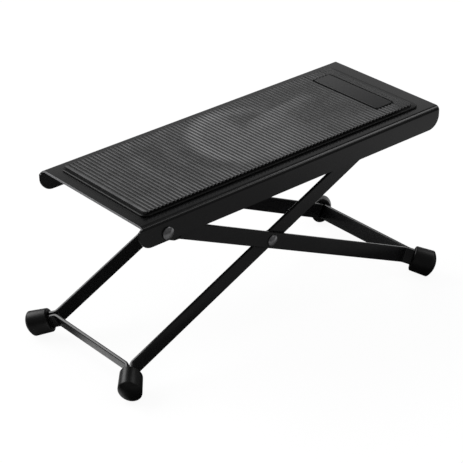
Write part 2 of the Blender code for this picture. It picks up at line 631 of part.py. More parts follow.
def main():
    """Build the footrest in its open position."""
    for old in list(bpy.data.objects):
        bpy.data.objects.remove(old, do_unlink=True)
    linkage = Linkage()
    root = empty("footrest", None, Matrix.Identity(4))
    tilted = Matrix.Rotation(-linkage.tilt, 4, "Y")
    to_crossing = Matrix.Translation((-linkage.crossing[0], 0, -linkage.crossing[1]))
    body = Matrix.Translation((0, 0, linkage.crossing_height)) @ tilted @ to_crossing
    pivot = Matrix.Translation((linkage.pivot[0], 0, linkage.pivot[1]))
    platform_axis = empty("platform_axis", root, body @ pivot)
    crossing = Matrix.Translation((0, 0, linkage.crossing_height))
    outer_slope = linkage.outer_slope - linkage.tilt
    inner_slope = linkage.inner_slope + linkage.tilt
    outer_axis = empty("outer_frame_axis", root, crossing @ Matrix.Rotation(outer_slope, 4, "Y"))
    inner_axis = empty("inner_frame_axis", root,
                       crossing @ Matrix.Rotation(math.pi - inner_slope, 4, "Y"))
    rivet_axis = empty("pivot_rivet_axis", outer_axis, Matrix.Translation((-ARM_LENGTH, 0, 0)))
    bpy.context.view_layer.update()

    from_pivot = pivot.inverted()
    build_platform(platform_axis, from_pivot)
    build_mat(platform_axis, from_pivot)
    build_frame("outer_frame", outer_axis, OUTER_REACH, OUTER_HALF_SPAN, PIVOT_LEG_FACE,
                HIGH_EAR_SHIFT)
    build_frame("inner_frame", inner_axis, INNER_REACH, INNER_HALF_SPAN, INNER_HALF_SPAN, 0)
    build_rod(inner_axis)
    pivot_grip = HALF_WIDTH + SEAT_GAP - (PIVOT_LEG_FACE - BAR_THICKNESS - SEAT_GAP)
    washer_face = INNER_INNER_FACE - SEAT_GAP - CROSSING_WASHER_HEIGHT
    crossing_grip = OUTER_HALF_SPAN + SEAT_GAP - (washer_face - SEAT_GAP)
    for word, side in (("near", -1), ("far", 1)):
        build_rack("rack_" + word, platform_axis, from_pivot, linkage, side)
        build_rivet("pivot_rivet_" + word, rivet_axis, side, HALF_WIDTH + SEAT_GAP,
                    pivot_grip, PIVOT_HEAD_RADIUS, PIVOT_HEAD_HEIGHT)
        build_washer("pivot_washer_" + word, rivet_axis, side, PIVOT_LEG_FACE + SEAT_GAP,
                     PIVOT_WASHER_HEIGHT)
        build_rivet("crossing_rivet_" + word, outer_axis, side, OUTER_HALF_SPAN + SEAT_GAP,
                    crossing_grip, CROSSING_HEAD_RADIUS, CROSSING_HEAD_HEIGHT)
        build_washer("crossing_washer_" + word, inner_axis, side, washer_face,
                     CROSSING_WASHER_HEIGHT)
        build_cap("high_cap_" + word, outer_axis, OUTER_REACH, OUTER_HALF_SPAN, side,
                  HIGH_EAR_SHIFT, HIGH_CAP_SAG)
        build_cap("low_cap_" + word, inner_axis, INNER_REACH, INNER_HALF_SPAN, side, 0, 0)
    centre_over_origin(root)


main()
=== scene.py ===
"""Looks of a folding footrest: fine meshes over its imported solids, finishes, light, camera."""

import json
import logging
from dataclasses import dataclass, field
from enum import Enum
from math import asin, atan2, cos, degrees, pi, radians, sin, sqrt, tan
from typing import Sequence, Union

import bmesh
import bpy
from bmesh.types import BMEdge, BMesh
from bpy.types import Material, Node, NodeSocket, NodeTree, Object
from mathutils import Matrix, Vector


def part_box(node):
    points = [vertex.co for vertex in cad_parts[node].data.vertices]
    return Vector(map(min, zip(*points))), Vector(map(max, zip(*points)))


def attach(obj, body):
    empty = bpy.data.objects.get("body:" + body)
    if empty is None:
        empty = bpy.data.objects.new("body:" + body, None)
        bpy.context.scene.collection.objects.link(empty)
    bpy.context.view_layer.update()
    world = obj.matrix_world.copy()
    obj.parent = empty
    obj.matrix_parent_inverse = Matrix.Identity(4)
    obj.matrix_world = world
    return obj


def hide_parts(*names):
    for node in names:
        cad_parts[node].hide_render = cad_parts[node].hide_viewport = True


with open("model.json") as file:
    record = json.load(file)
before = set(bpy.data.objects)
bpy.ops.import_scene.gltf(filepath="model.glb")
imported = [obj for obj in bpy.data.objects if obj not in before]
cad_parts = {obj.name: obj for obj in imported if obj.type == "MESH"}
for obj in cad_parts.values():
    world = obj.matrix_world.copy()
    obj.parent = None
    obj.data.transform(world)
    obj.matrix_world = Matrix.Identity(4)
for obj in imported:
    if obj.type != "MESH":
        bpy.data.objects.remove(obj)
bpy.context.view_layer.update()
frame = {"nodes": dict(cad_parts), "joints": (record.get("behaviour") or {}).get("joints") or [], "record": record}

Point = tuple[float, float]
Span = tuple[float, float]
Band = tuple[Span, Span]
Colour = tuple[float, float, float]
Number = Union[int, float]

MM = 0.001
MERGE = 0.001 * MM
ACROSS = Matrix.Rotation(-pi / 2, 4, "X")
PLATFORM_LENGTH = 275 * MM
PLATFORM_WIDTH = 112 * MM
SHEET = 1.5 * MM
SEAT_GAP = 0.3 * MM
HOLE_RADIUS = 2.7 * MM
HOLE_STEPS = 32
TURNED_STEPS = 48
RIM_STEPS = 3
CAP_END = 22.7 * MM
CAP_FLOOR = 3.9 * MM

log = logging.getLogger("footrest")


class Side(Enum):
    """Near side, towards the camera, or far side."""

    NEAR = -1
    FAR = 1

    @property
    def word(self) -> str:
        """Word that ends the names of this side's pieces."""
        return self.name.lower()


class Body(Enum):
    """Bodies that pieces ride on."""

    OUTER = "outer_frame"
    INNER = "inner_frame"
    PLATFORM = "platform"


class Slot(Enum):
    """Names of material slots, passed with each piece but not read."""

    COATED = "coated_steel"
    PLATED = "plated_steel"
    MAT = "mat_rubber"
    CAP = "cap_rubber"


class Signal:
    """A number from a shader socket; an expression on signals adds its Math nodes."""

    def __init__(self, graph: "Graph", socket: NodeSocket) -> None:
        """Wraps a socket of a graph."""
        self.graph = graph
        self.socket = socket

    def _math(self, operation: str, *values: "Operand") -> "Signal":
        """Signal from a Math node with this operation on the values."""
        sockets = dict(enumerate(values))
        return self.graph.node("ShaderNodeMath", {"operation": operation}, sockets)

    def __add__(self, other: "Operand") -> "Signal":
        """Sum."""
        return self._math("ADD", self, other)

    def __radd__(self, other: "Operand") -> "Signal":
        """Sum, with the number first."""
        return self._math("ADD", other, self)

    def __sub__(self, other: "Operand") -> "Signal":
        """Difference."""
        return self._math("SUBTRACT", self, other)

    def __rsub__(self, other: "Operand") -> "Signal":
        """Difference, with the number first."""
        return self._math("SUBTRACT", other, self)

    def __mul__(self, other: "Operand") -> "Signal":
        """Product."""
        return self._math("MULTIPLY", self, other)

    def __rmul__(self, other: "Operand") -> "Signal":
        """Product, with the number first."""
        return self._math("MULTIPLY", other, self)

    def __pow__(self, other: "Operand") -> "Signal":
        """Power."""
        return self._math("POWER", self, other)

    def __rpow__(self, other: "Operand") -> "Signal":
        """Power, with the number first."""
        return self._math("POWER", other, self)

    def within(self, band: Band) -> "Signal":
        """Signal that is 1 between a smooth rise and a smooth fall."""
        rise, fall = band
        return self.stepped(*rise) - self.stepped(*fall)

    def about(self, share: float) -> "Signal":
        """Signal about 0 of a noise about one half, times a share."""
        return (self - 0.5) * share

    def clamped(self) -> "Signal":
        """Signal held between 0 and 1."""
        return self.graph.node("ShaderNodeClamp", {}, {"Value": self})

    def stepped(self, low: float, high: float) -> "Signal":
        """Smooth step from 0 at low to 1 at high.

        Args:
            low: Value where the step starts.
            high: Value where it ends.

        Returns:
            The step, smooth between 0 and 1.
        """
        settings = {"interpolation_type": "SMOOTHSTEP"}
        return self.graph.node("ShaderNodeMapRange", settings,
                               {"Value": self, "From Min": low, "From Max": high})


Operand = Union[Signal, Number]
Value = Union[Signal, Number, Sequence[float]]
Sockets = dict[Union[str, int], Value]


class Graph:
    """Node tree of a material or the world, filled through one method."""

    def __init__(self, tree: NodeTree) -> None:
        """Takes a tree and empties it."""
        self.tree = tree
        self.tree.nodes.clear()

    def node(self, kind: str, settings: dict[str, object], sockets: Sockets,
             output: Union[str, int] = 0) -> Signal:
        """Adds one node and gives the signal of one of its outputs; see add."""
        return Signal(self, self.add(kind, settings, sockets).outputs[output])

    def add(self, kind: str, settings: dict[str, object], sockets: Sockets) -> Node:
        """Adds one node.

        Args:
            kind: Blender's name of the node's type.
            settings: Properties, set first.
            sockets: Input sockets by name or number, each with a value or what links to it.

        Returns:
            The node.
        """
        made = self.tree.nodes.new(kind)
        for name, setting in settings.items():
            setattr(made, name, setting)
        for key, value in sockets.items():
            if isinstance(value, Signal):
                self.tree.links.new(value.socket, made.inputs[key])
            elif isinstance(value, (int, float)):
                made.inputs[key].default_value = value
            else:
                room = len(made.inputs[key].default_value)
                made.inputs[key].default_value = (*value, 1.0)[:room]
        return made

    def place(self) -> Signal:
        """Signal of the surface's own coordinates, in metres, at rest."""
        return self.node("ShaderNodeTexCoord", {}, {}, "Object")

    def distance_along(self, place: Matrix, axis: int) -> Signal:
        """Signal of one coordinate of the surface in a frame of its own.

        Args:
            place: Frame that is measured in.
            axis: Number of the frame's axis.

        Returns:
            Signal of the coordinate, in metres.
        """
        direction = place.col[axis].to_3d()
        return self.node("ShaderNodeVectorMath", {"operation": "DOT_PRODUCT"},
                         {0: self.place(), 1: tuple(direction)},
                         "Value") - direction.dot(place.translation)

    def apart(self, vector: Signal) -> tuple[Signal, Signal, Signal]:
        """X, Y and Z of a vector.

        Args:
            vector: Signal of a vector.

        Returns:
            Signals of its three numbers.
        """
        split = self.node("ShaderNodeSeparateXYZ", {}, {0: vector})
        node = split.socket.node
        return tuple(Signal(self, node.outputs[i]) for i in range(3))

    def noise(self, size: float, detail: float = 2.0, rough: float = 0.5,
              stretch: Colour = (1.0, 1.0, 1.0)) -> Signal:
        """Noise that varies over the surface.

        Args:
            size: Size of the grain, in metres.
            detail: How many finer layers it has.
            rough: How strong the finer layers are.
            stretch: How far the grain is drawn out along each axis.

        Returns:
            Signal of the noise, about 0.5.
        """
        scale = tuple(1 / s for s in stretch)
        place = self.node("ShaderNodeVectorMath", {"operation": "MULTIPLY"},
                          {0: self.place(), 1: scale})
        sockets = {"Vector": place, "Scale": 1 / size, "Detail": detail, "Roughness": rough}
        return self.node("ShaderNodeTexNoise", {}, sockets, "Fac")

    def mix(self, factor: Operand, first: Value, second: Value) -> Signal:
        """Colour between two colours."""
        sockets = {0: factor, 6: first, 7: second}
        return self.node("ShaderNodeMix", {"data_type": "RGBA"}, sockets, 2)

    def grey(self, level: Signal) -> Signal:
        """Grey colour of a level."""
        return self.node("ShaderNodeCombineColor", {}, {0: level, 1: level, 2: level})

    def bump(self, height: Signal, depth: float, under: Signal | None = None) -> Signal:
        """Normal of a surface raised by a height from 0 to 1 times a depth in metres.

        Args:
            height: Signal from 0 to 1.
            depth: Depth of a height of 1, in metres.
            under: Normal that it is laid over, if any.

        Returns:
            Signal of the normal.
        """
        sockets: Sockets = {"Height": height, "Distance": depth}
        if under is not None:
            sockets["Normal"] = under
        return self.node("ShaderNodeBump", {}, sockets, "Normal")

    def surface(self, sockets: Sockets) -> None:
        """Ends the tree in a Principled BSDF with these sockets."""
        shader = self.node("ShaderNodeBsdfPrincipled", {}, sockets)
        self.add("ShaderNodeOutputMaterial", {}, {"Surface": shader})


def new_material(name: str) -> tuple[Material, Graph]:
    """Empty material and the graph that fills it.

    Args:
        name: Name of the material.

    Returns:
        The material and its graph.
    """
    made = bpy.data.materials.new(name)
    made.use_nodes = True
    return made, Graph(made.node_tree)


@dataclass(frozen=True)
class PowderCoat:
    """Satin black powder coat on steel: fine orange peel, cloudy gloss and dust specks, and a painted highlight on
    the sheet's cut ends.
    """

    colour: Colour = (0.0045, 0.0045, 0.0048)
    dusty: Colour = (0.010, 0.010, 0.011)
    roughness: float = 0.21
    cloud_size: float = 28 * MM
    cloud_span: Span = (0.45, 0.75)
    cloud_dust: float = 0.25
    cloud_gloss: float = 0.06
    speck_size: float = 0.5 * MM
    speck_span: Span = (0.68, 0.78)
    speck_dust: float = 0.6
    speck_gloss: float = 0.15
    # painted highlight: light grey for the sheet's cut ends, and where along and how high it lies
    cut: Colour = (0.19, 0.19, 0.195)
    cut_along: Span = (137.12 * MM, 137.3 * MM)
    cut_above: Span = (-1.75 * MM, -1.6 * MM)
    peel_size: float = 0.9 * MM
    peel_depth: float = 0.006 * MM
    grit_size: float = 0.22 * MM
    grit_depth: float = 0.0025 * MM

    def make(self, platform: Matrix) -> Material:
        """Material of this finish.

        Args:
            platform: Frame of the platform, whose sheet's cut ends carry a painted highlight.

        Returns:
            The material.
        """
        made, graph = new_material("powder_coat")
        clouds = graph.noise(self.cloud_size, detail=3.0)
        specks = graph.noise(self.speck_size, detail=1.0).stepped(*self.speck_span)
        dust = specks * self.speck_dust + clouds.stepped(*self.cloud_span) * self.cloud_dust
        colour = graph.mix(dust, self.colour, self.dusty)
        along = graph.distance_along(platform, 0)
        above = graph.distance_along(platform, 2)
        # painted highlight: the cut ends at both ends of the sheet turn light grey
        ends = along.stepped(*self.cut_along) + (0 - along).stepped(*self.cut_along)
        cut = ends * above.stepped(*self.cut_above)
        colour = graph.mix(cut, colour, self.cut)
        grit = graph.bump(graph.noise(self.grit_size, detail=1.0), self.grit_depth)
        peel = graph.bump(graph.noise(self.peel_size, detail=1.0), self.peel_depth, grit)
        rough = self.roughness + clouds.about(self.cloud_gloss) + specks * self.speck_gloss
        graph.surface({"Base Color": colour, "Roughness": rough, "Normal": peel})
        return made


@dataclass(frozen=True)
class DarkPlate:
    """Dark zinc plate on turned steel: fine turning marks and a soft mottle."""

    colour: Colour = (0.55, 0.55, 0.56)
    deep: Colour = (0.38, 0.38, 0.39)
    roughness: float = 0.32
    mottle_size: float = 1.6 * MM
    mottle_span: Span = (0.35, 0.7)
    mottle_gloss: float = 0.12
    mark_size: float = 0.18 * MM
    mark_depth: float = 0.002 * MM

    def make(self) -> Material:
        """Material of this finish.

        Returns:
            The material.
        """
        made, graph = new_material("dark_plate")
        mottle = graph.noise(self.mottle_size, detail=3.0)
        colour = graph.mix(mottle.stepped(*self.mottle_span), self.colour, self.deep)
        marks = graph.bump(graph.noise(self.mark_size, detail=1.0), self.mark_depth)
        rough = self.roughness + mottle.about(self.mottle_gloss)
        graph.surface({"Base Color": colour, "Roughness": rough, "Metallic": 1.0,
                       "Normal": marks})
        return made


@dataclass(frozen=True)
class MatRubber:
    """Moulded black rubber, its ribs' tops grey from shoes and lightened by painted sheen, most of all in the
    middle; its near wall is kept black as painted shade.
    """

    colour: Colour = (0.0028, 0.0028, 0.0030)
    # grooves run from swept to dusty and rib tops from grey to pale, along one pattern of shoe wear and painted
    # sheen
    swept: Colour = (0.010, 0.010, 0.0102)
    dusty: Colour = (0.050, 0.050, 0.051)
    greyed: Colour = (0.057, 0.057, 0.058)
    worn: Colour = (0.270, 0.270, 0.274)
    plain: Colour = (0.020, 0.020, 0.0205)
    panel: Colour = (0.024, 0.024, 0.0245)
    roughness: float = 0.40
    shine: float = 0.3
    grain_size: float = 0.35 * MM
    grain_depth: float = 0.006 * MM
    bloom_size: float = 2.2 * MM
    bloom_gloss: float = 0.1
    groove_span: Span = (1.6 * MM, 2.0 * MM)
    top_span: Span = (3.2 * MM, 3.36 * MM)
    panel_span: Span = (3.45 * MM, 3.6 * MM)
    # painted shade: where the ribbed block's near wall begins, which stays bare black
    near_wall: Span = (44.7 * MM, 44.95 * MM)
    far_ends: Span = (41.5 * MM, 44.5 * MM)
    far_loss: float = 0.75
    plain_span: Span = (104 * MM, 122 * MM)
    plain_top_loss: float = 0.82
    plain_groove_share: float = 0.6
    # middle and shapes of that pattern: the disc, arch, wedge and echoes are painted sheen
    worn_middle: Point = (5.8 * MM, -2.4 * MM)
    disc: Span = (28 * MM, 52 * MM)
    disc_share: float = 0.42
    disc_right: Span = (2 * MM, 18 * MM)
    disc_deep: Span = (0.0, 11 * MM)
    disc_losses: tuple[float, float] = (0.05, 0.38)
    base_share: float = 0.15
    high_end: Span = (35 * MM, 100 * MM)
    high_loss: float = 0.13
    near_edge: Span = (22 * MM, 44 * MM)
    near_share: float = 0.22
    arch: Band = ((29 * MM, 38 * MM), (40 * MM, 48 * MM))
    arch_span: Span = (-34 * MM, 22 * MM)
    arch_share: float = 0.44
    wedge_slope: float = 0.136
    wedge_rise: float = 9.5 * MM
    wedge_across: Band = ((-19 * MM, -2 * MM), (-1 * MM, 3 * MM))
    wedge_along: Band = ((8 * MM, 26 * MM), (62 * MM, 90 * MM))
    wedge_share: float = 0.40
    echoes: tuple[Band, ...] = (((55 * MM, 61 * MM), (62 * MM, 68 * MM)),
                                ((80 * MM, 86 * MM), (87 * MM, 94 * MM)))
    echo_end: Span = (-40 * MM, 0.0)
    echo_share: float = 0.14
    cloud_size: float = 17 * MM
    cloud_share: float = 0.50
    streak: Colour = (1.0, 3.0, 1.0)
    streak_share: float = 0.22

    def wear(self, graph: Graph, x: Signal, y: Signal) -> Signal:
        """How far the ribs' tops are grey from shoes and lightened by painted sheen.

        Args:
            graph: Graph of the finish.
            x: Place along the footrest.
            y: Place across the footrest.

        Returns:
            A disc and a pale arch round the middle, fainter echoes of the arch towards the
            low end, a wedge towards the high end, greyer near ends, clouds and streaks; the disc, arch, echoes and
            wedge are painted sheen.
        """
        across = x - self.worn_middle[0]
        deep = y - self.worn_middle[1]
        reach = (across * across + deep * deep) ** 0.5
        lost, lost_deep = self.disc_losses
        loss = x.stepped(*self.disc_right) * (y.stepped(*self.disc_deep) * lost_deep + lost)
        # painted sheen: a pale disc round the middle, laid over grey from shoes
        worn = (1 - reach.stepped(*self.disc)) * (self.disc_share - loss)
        worn = worn + self.base_share - x.stepped(*self.high_end) * self.high_loss
        worn = worn + (0 - y).stepped(*self.near_edge) * self.near_share
        worn = worn + reach.within(self.arch) * (y - x).stepped(*self.arch_span) * self.arch_share
        above = y - x * self.wedge_slope - self.wedge_rise
        wedge = above.within(self.wedge_across) * x.within(self.wedge_along)
        worn = worn + wedge * self.wedge_share
        for echo in self.echoes:
            fade = (1 - x.stepped(*self.echo_end)) * self.echo_share
            worn = worn + reach.within(echo) * fade
        streaks = graph.noise(self.bloom_size, stretch=self.streak)
        clouds = graph.noise(self.cloud_size)
        return worn + clouds.about(self.cloud_share) + streaks.about(self.streak_share)

    def make(self, platform: Matrix) -> Material:
        """Material of this finish.

        Args:
            platform: Frame of the platform, whose Z is the height above the sheet.

        Returns:
            The material.
        """
        made, graph = new_material("mat_rubber")
        x, y, _ = graph.apart(graph.place())
        height = graph.distance_along(platform, 2)
        plain = x.stepped(*self.plain_span)
        panel = height.stepped(*self.panel_span)
        # rib tops lighter than the grooves: grey from shoes and painted sheen, less beyond the panel and towards
        # the far ends
        top = height.stepped(*self.top_span) * (1 - plain * self.plain_top_loss)
        top = top * (1 - y.stepped(*self.far_ends) * self.far_loss)
        worn = self.wear(graph, x, y).clamped()
        tops = graph.mix(worn, self.greyed, self.worn)
        # painted shade: the near wall stays bare black, while surfaces above the lip elsewhere take dust
        dusty = height.stepped(*self.groove_span) * (1 - (0 - y).stepped(*self.near_wall))
        # dust in the grooves follows the same pattern, so it carries painted sheen as well
        dust = graph.mix(worn, self.swept, self.dusty)
        grooves = graph.mix(dusty, self.colour, dust)
        grooves = graph.mix(plain * self.plain_groove_share, grooves, self.plain)
        colour = graph.mix(panel, graph.mix(top, grooves, tops), self.panel)
        grain = graph.bump(graph.noise(self.grain_size), self.grain_depth)
        rough = self.roughness + graph.noise(self.bloom_size).about(self.bloom_gloss)
        graph.surface({"Base Color": colour, "Roughness": rough, "Normal": grain,
                       "Specular IOR Level": self.shine})
        return made


@dataclass(frozen=True)
class CapRubber:
    """Smooth moulded rubber with a faint blush and handling marks."""

    colour: Colour = (0.0014, 0.0014, 0.0015)
    blush: Colour = (0.005, 0.005, 0.0052)
    roughness: float = 0.43
    blush_size: float = 5.0 * MM
    blush_span: Span = (0.45, 0.8)
    blush_share: float = 0.5
    blush_gloss: float = 0.12
    mark_size: float = 0.9 * MM
    mark_stretch: Colour = (1.0, 1.0, 3.0)
    mark_span: Span = (0.62, 0.75)
    mark_gloss: float = 0.12
    grain_size: float = 0.3 * MM
    grain_depth: float = 0.003 * MM

    def make(self) -> Material:
        """Material of this finish.

        Returns:
            The material.
        """
        made, graph = new_material("cap_rubber")
        blush = graph.noise(self.blush_size, detail=3.0)
        marks = graph.noise(self.mark_size, rough=0.6, stretch=self.mark_stretch)
        marks = marks.stepped(*self.mark_span)
        share = blush.stepped(*self.blush_span) * self.blush_share
        colour = graph.mix(share, self.colour, self.blush)
        grain = graph.bump(graph.noise(self.grain_size), self.grain_depth)
        rough = self.roughness + blush.about(self.blush_gloss) + marks * self.mark_gloss
        graph.surface({"Base Color": colour, "Roughness": rough, "Normal": grain})
        return made


def arc(centre: Point, radius: float, start: float, end: float, steps: int) -> list[Point]:
    """Points of a circular arc, from a start angle to an end angle in degrees, both included."""
    angles = [radians(start + (end - start) * i / steps) for i in range(steps + 1)]
    return [(centre[0] + radius * cos(a), centre[1] + radius * sin(a)) for a in angles]


def rounded_outline(half_x: float, half_y: float, radius: float, steps: int) -> list[Point]:
    """Counter-clockwise outline of a rectangle with round corners.

    Args:
        half_x: Half its size along X.
        half_y: Half its size along Y.
        radius: Radius of its corners.
        steps: How many steps each corner has.

    Returns:
        Its points.
    """
    outline: list[Point] = []
    for turn, (sign_x, sign_y) in enumerate(((1, 1), (-1, 1), (-1, -1), (1, -1))):
        corner = (sign_x * (half_x - radius), sign_y * (half_y - radius))
        outline += arc(corner, radius, 90 * turn, 90 * turn + 90, steps)
    return outline


def filleted(corners: Sequence[Vector], radius: float, steps: int) -> list[Vector]:
    """Points of a flat path whose inner corners are rounded to a radius.

    Args:
        corners: Both ends of the path and the corners between them.
        radius: Radius of the rounding.
        steps: How many steps each corner has.

    Returns:
        The path's points.
    """
    path = [corners[0].copy()]
    for before, corner, after in zip(corners, corners[1:], corners[2:]):
        into = (corner - before).normalized()
        out = (after - corner).normalized()
        turn = into.angle_signed(out)
        reach = radius * tan(abs(turn) / 2)
        side = Vector((-into.y, into.x)) * (-1 if turn > 0 else 1)
        centre = corner - into * reach + side * radius
        start = corner - into * reach - centre
        for i in range(steps + 1):
            path.append(centre + Matrix.Rotation(-turn * i / steps, 2) @ start)
    path.append(corners[-1].copy())
    return path


def loft(rings: Sequence[Sequence[Sequence[float]]]) -> BMesh:
    """Closed mesh through closed rings of equal count, filled at both ends.

    Args:
        rings: Points of each ring, from one end to the other.

    Returns:
        The mesh.
    """
    bm = bmesh.new()
    rows = [[bm.verts.new(point) for point in ring] for ring in rings]
    for first, second in zip(rows, rows[1:]):
        for j in range(len(first)):
            k = (j + 1) % len(first)
            bm.faces.new((first[j], first[k], second[k], second[j]))
    bm.faces.new(reversed(rows[0]))
    bm.faces.new(rows[-1])
    bmesh.ops.recalc_face_normals(bm, faces=bm.faces)
    return bm


def prism(outline: Sequence[Point], low: float, high: float) -> BMesh:
    """Closed mesh of an outline in X and Y, from z = low to z = high."""
    return loft([[(x, y, z) for x, y in outline] for z in (low, high)])


def turned(profile: Sequence[Point], steps: int) -> BMesh:
    """Closed mesh of (radius, height) points spun about Z, with both ends on the axis.

    Args:
        profile: The points, in order.
        steps: How many steps go round.

    Returns:
        The mesh.
    """
    bm = bmesh.new()
    points = [bm.verts.new((radius, 0, height)) for radius, height in profile]
    edges = [bm.edges.new(pair) for pair in zip(points, points[1:])]
    bmesh.ops.spin(bm, geom=points + edges, cent=(0, 0, 0), axis=(0, 0, 1), dvec=(0, 0, 0),
                   angle=2 * pi, steps=steps, use_duplicate=False)
    bmesh.ops.remove_doubles(bm, verts=bm.verts, dist=MERGE)
    bmesh.ops.recalc_face_normals(bm, faces=bm.faces)
    return bm


def smooth(mesh: bpy.types.Mesh, sharp: float) -> None:
    """Shades a mesh smooth except at edges over an angle in degrees."""
    mesh.shade_smooth()
    mesh.set_sharp_from_angle(angle=radians(sharp))


def new_object(name: str, bm: BMesh, place: Matrix, sharp: float = 32.0) -> Object:
    """Object at the origin whose mesh is set in place, smooth except at sharp edges.

    Args:
        name: Name of the object.
        bm: Its mesh, which is used up.
        place: Where the mesh is set.
        sharp: Angle in degrees over which an edge stays sharp.

    Returns:
        The object.
    """
    mesh = bpy.data.meshes.new(name)
    bm.to_mesh(mesh)
    bm.free()
    mesh.transform(place)
    smooth(mesh, sharp)
    made = bpy.data.objects.new(name, mesh)
    bpy.context.scene.collection.objects.link(made)
    return made


def settle(piece: Object) -> None:
    """Turns a piece's modifiers into its mesh.

    Args:
        piece: The piece.
    """
    bpy.context.view_layer.update()
    shape = piece.evaluated_get(bpy.context.evaluated_depsgraph_get())
    mesh = bpy.data.meshes.new_from_object(shape)
    piece.modifiers.clear()
    old = piece.data
    piece.data = mesh
    bpy.data.meshes.remove(old)


def carve(piece: Object, tool: BMesh, place: Matrix) -> None:
    """Cuts a tool's shape out of a piece, and throws the tool away.

    Args:
        piece: The piece.
        tool: Mesh of the tool.
        place: Where the tool is set.
    """
    cutter = new_object(piece.name + "_tool", tool, place)
    modifier = piece.modifiers.new("carve", "BOOLEAN")
    modifier.operation = "DIFFERENCE"
    modifier.solver = "EXACT"
    modifier.object = cutter
    settle(piece)
    bpy.data.objects.remove(cutter, do_unlink=True)


def drill(piece: Object, place: Matrix) -> None:
    """Drills a rivet's hole through a piece, across the footrest.

    Args:
        piece: The piece.
        place: Frame whose origin the hole goes through, along its Y.
    """
    reach = PLATFORM_WIDTH
    hole = turned([(0, -reach), (HOLE_RADIUS, -reach), (HOLE_RADIUS, reach), (0, reach)],
                  HOLE_STEPS)
    carve(piece, hole, place @ ACROSS)


def facing(side: Side, place: Matrix, face: float) -> Matrix:
    """Frame whose Z points out of one side, its origin at a face's distance from mid width."""
    half_turn = Matrix.Rotation(pi if side is Side.NEAR else 0.0, 4, "Z")
    return place @ half_turn @ Matrix.Translation((0, face, 0)) @ ACROSS


def heading(azimuth: float, elevation: float) -> Vector:
    """Direction at an azimuth from +Y towards +X and an elevation, both in degrees."""
    turn, rise = radians(azimuth), radians(elevation)
    return Vector((sin(turn) * cos(rise), cos(turn) * cos(rise), sin(rise)))


def soften(piece: Object, width: float, segments: int, angle: float = 40.0) -> None:
    """Rounds a piece's edges over an angle in degrees.

    Args:
        piece: The piece.
        width: Width of the rounding.
        segments: How many steps it has.
        angle: Least angle in degrees of an edge that is rounded.
    """
    modifier = piece.modifiers.new("soften", "BEVEL")
    modifier.width = width
    modifier.segments = segments
    modifier.limit_method = "ANGLE"
    modifier.angle_limit = radians(angle)
    modifier.harden_normals = True
    settle(piece)


def finish_piece(piece: Object, body: Body, slot: Slot, look: Material,
                 *nodes: str) -> Object:
    """Dresses a piece, sets it on its body and hides the solids that it stands for.

    Args:
        piece: The finished mesh, in place.
        body: Body that it moves with.
        slot: Not used.
        look: Its material.
        nodes: Solids that it replaces.

    Returns:
        The same piece.
    """
    piece.data.materials.clear()
    piece.data.materials.append(look)
    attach(piece, body.value)
    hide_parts(*nodes)
    log.info("%s: %d faces, on %s", piece.name, len(piece.data.polygons), body.value)
    return piece


@dataclass
class Looks:
    """The four finishes, made once."""

    mat: Material
    coat: Material
    plate: Material = field(default_factory=lambda: DarkPlate().make())
    cap: Material = field(default_factory=lambda: CapRubber().make())


@dataclass
class Stance:
    """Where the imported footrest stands: its pivots, its tilt and its sub-assemblies' frames."""

    pivot_inset: float = 20.2 * MM
    pivot_depth: float = 10.8 * MM

    def __post_init__(self) -> None:
        """Reads the pivots and works out the frames of the sub-assemblies."""
        joints = {joint["name"]: Vector(joint["pos_m"]) for joint in frame["joints"]}
        mounts = {mount["name"]: mount for mount in frame["record"]["mounts"]}
        self.pivot = joints["platform_pivot"]
        self.crossing = joints["fold"]
        low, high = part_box("support_rod")
        self.rod = (low + high) / 2
        self.arm = (self.crossing - self.pivot).length
        up = Vector(mounts["foot_surface"]["axis"])
        self.platform = self._axes(Vector((up.z, 0, -up.x)), self.pivot) @ Matrix.Translation(
            (PLATFORM_LENGTH / 2 - self.pivot_inset, 0, self.pivot_depth))
        self.outer = self._axes(self.crossing - self.pivot, self.crossing)
        self.inner = self._axes(self.crossing - self.rod, self.crossing)

    @staticmethod
    def _axes(along: Vector, origin: Vector) -> Matrix:
        """Frame at an origin with its X along a direction and its Y across the footrest.

        Args:
            along: Direction of the frame's X.
            origin: Its origin.

        Returns:
            The frame.
        """
        x_axis = along.normalized()
        y_axis = Vector((0, 1, 0))
        z_axis = x_axis.cross(y_axis)
        turn = Matrix((x_axis, y_axis, z_axis)).transposed().to_4x4()
        return Matrix.Translation(origin) @ turn


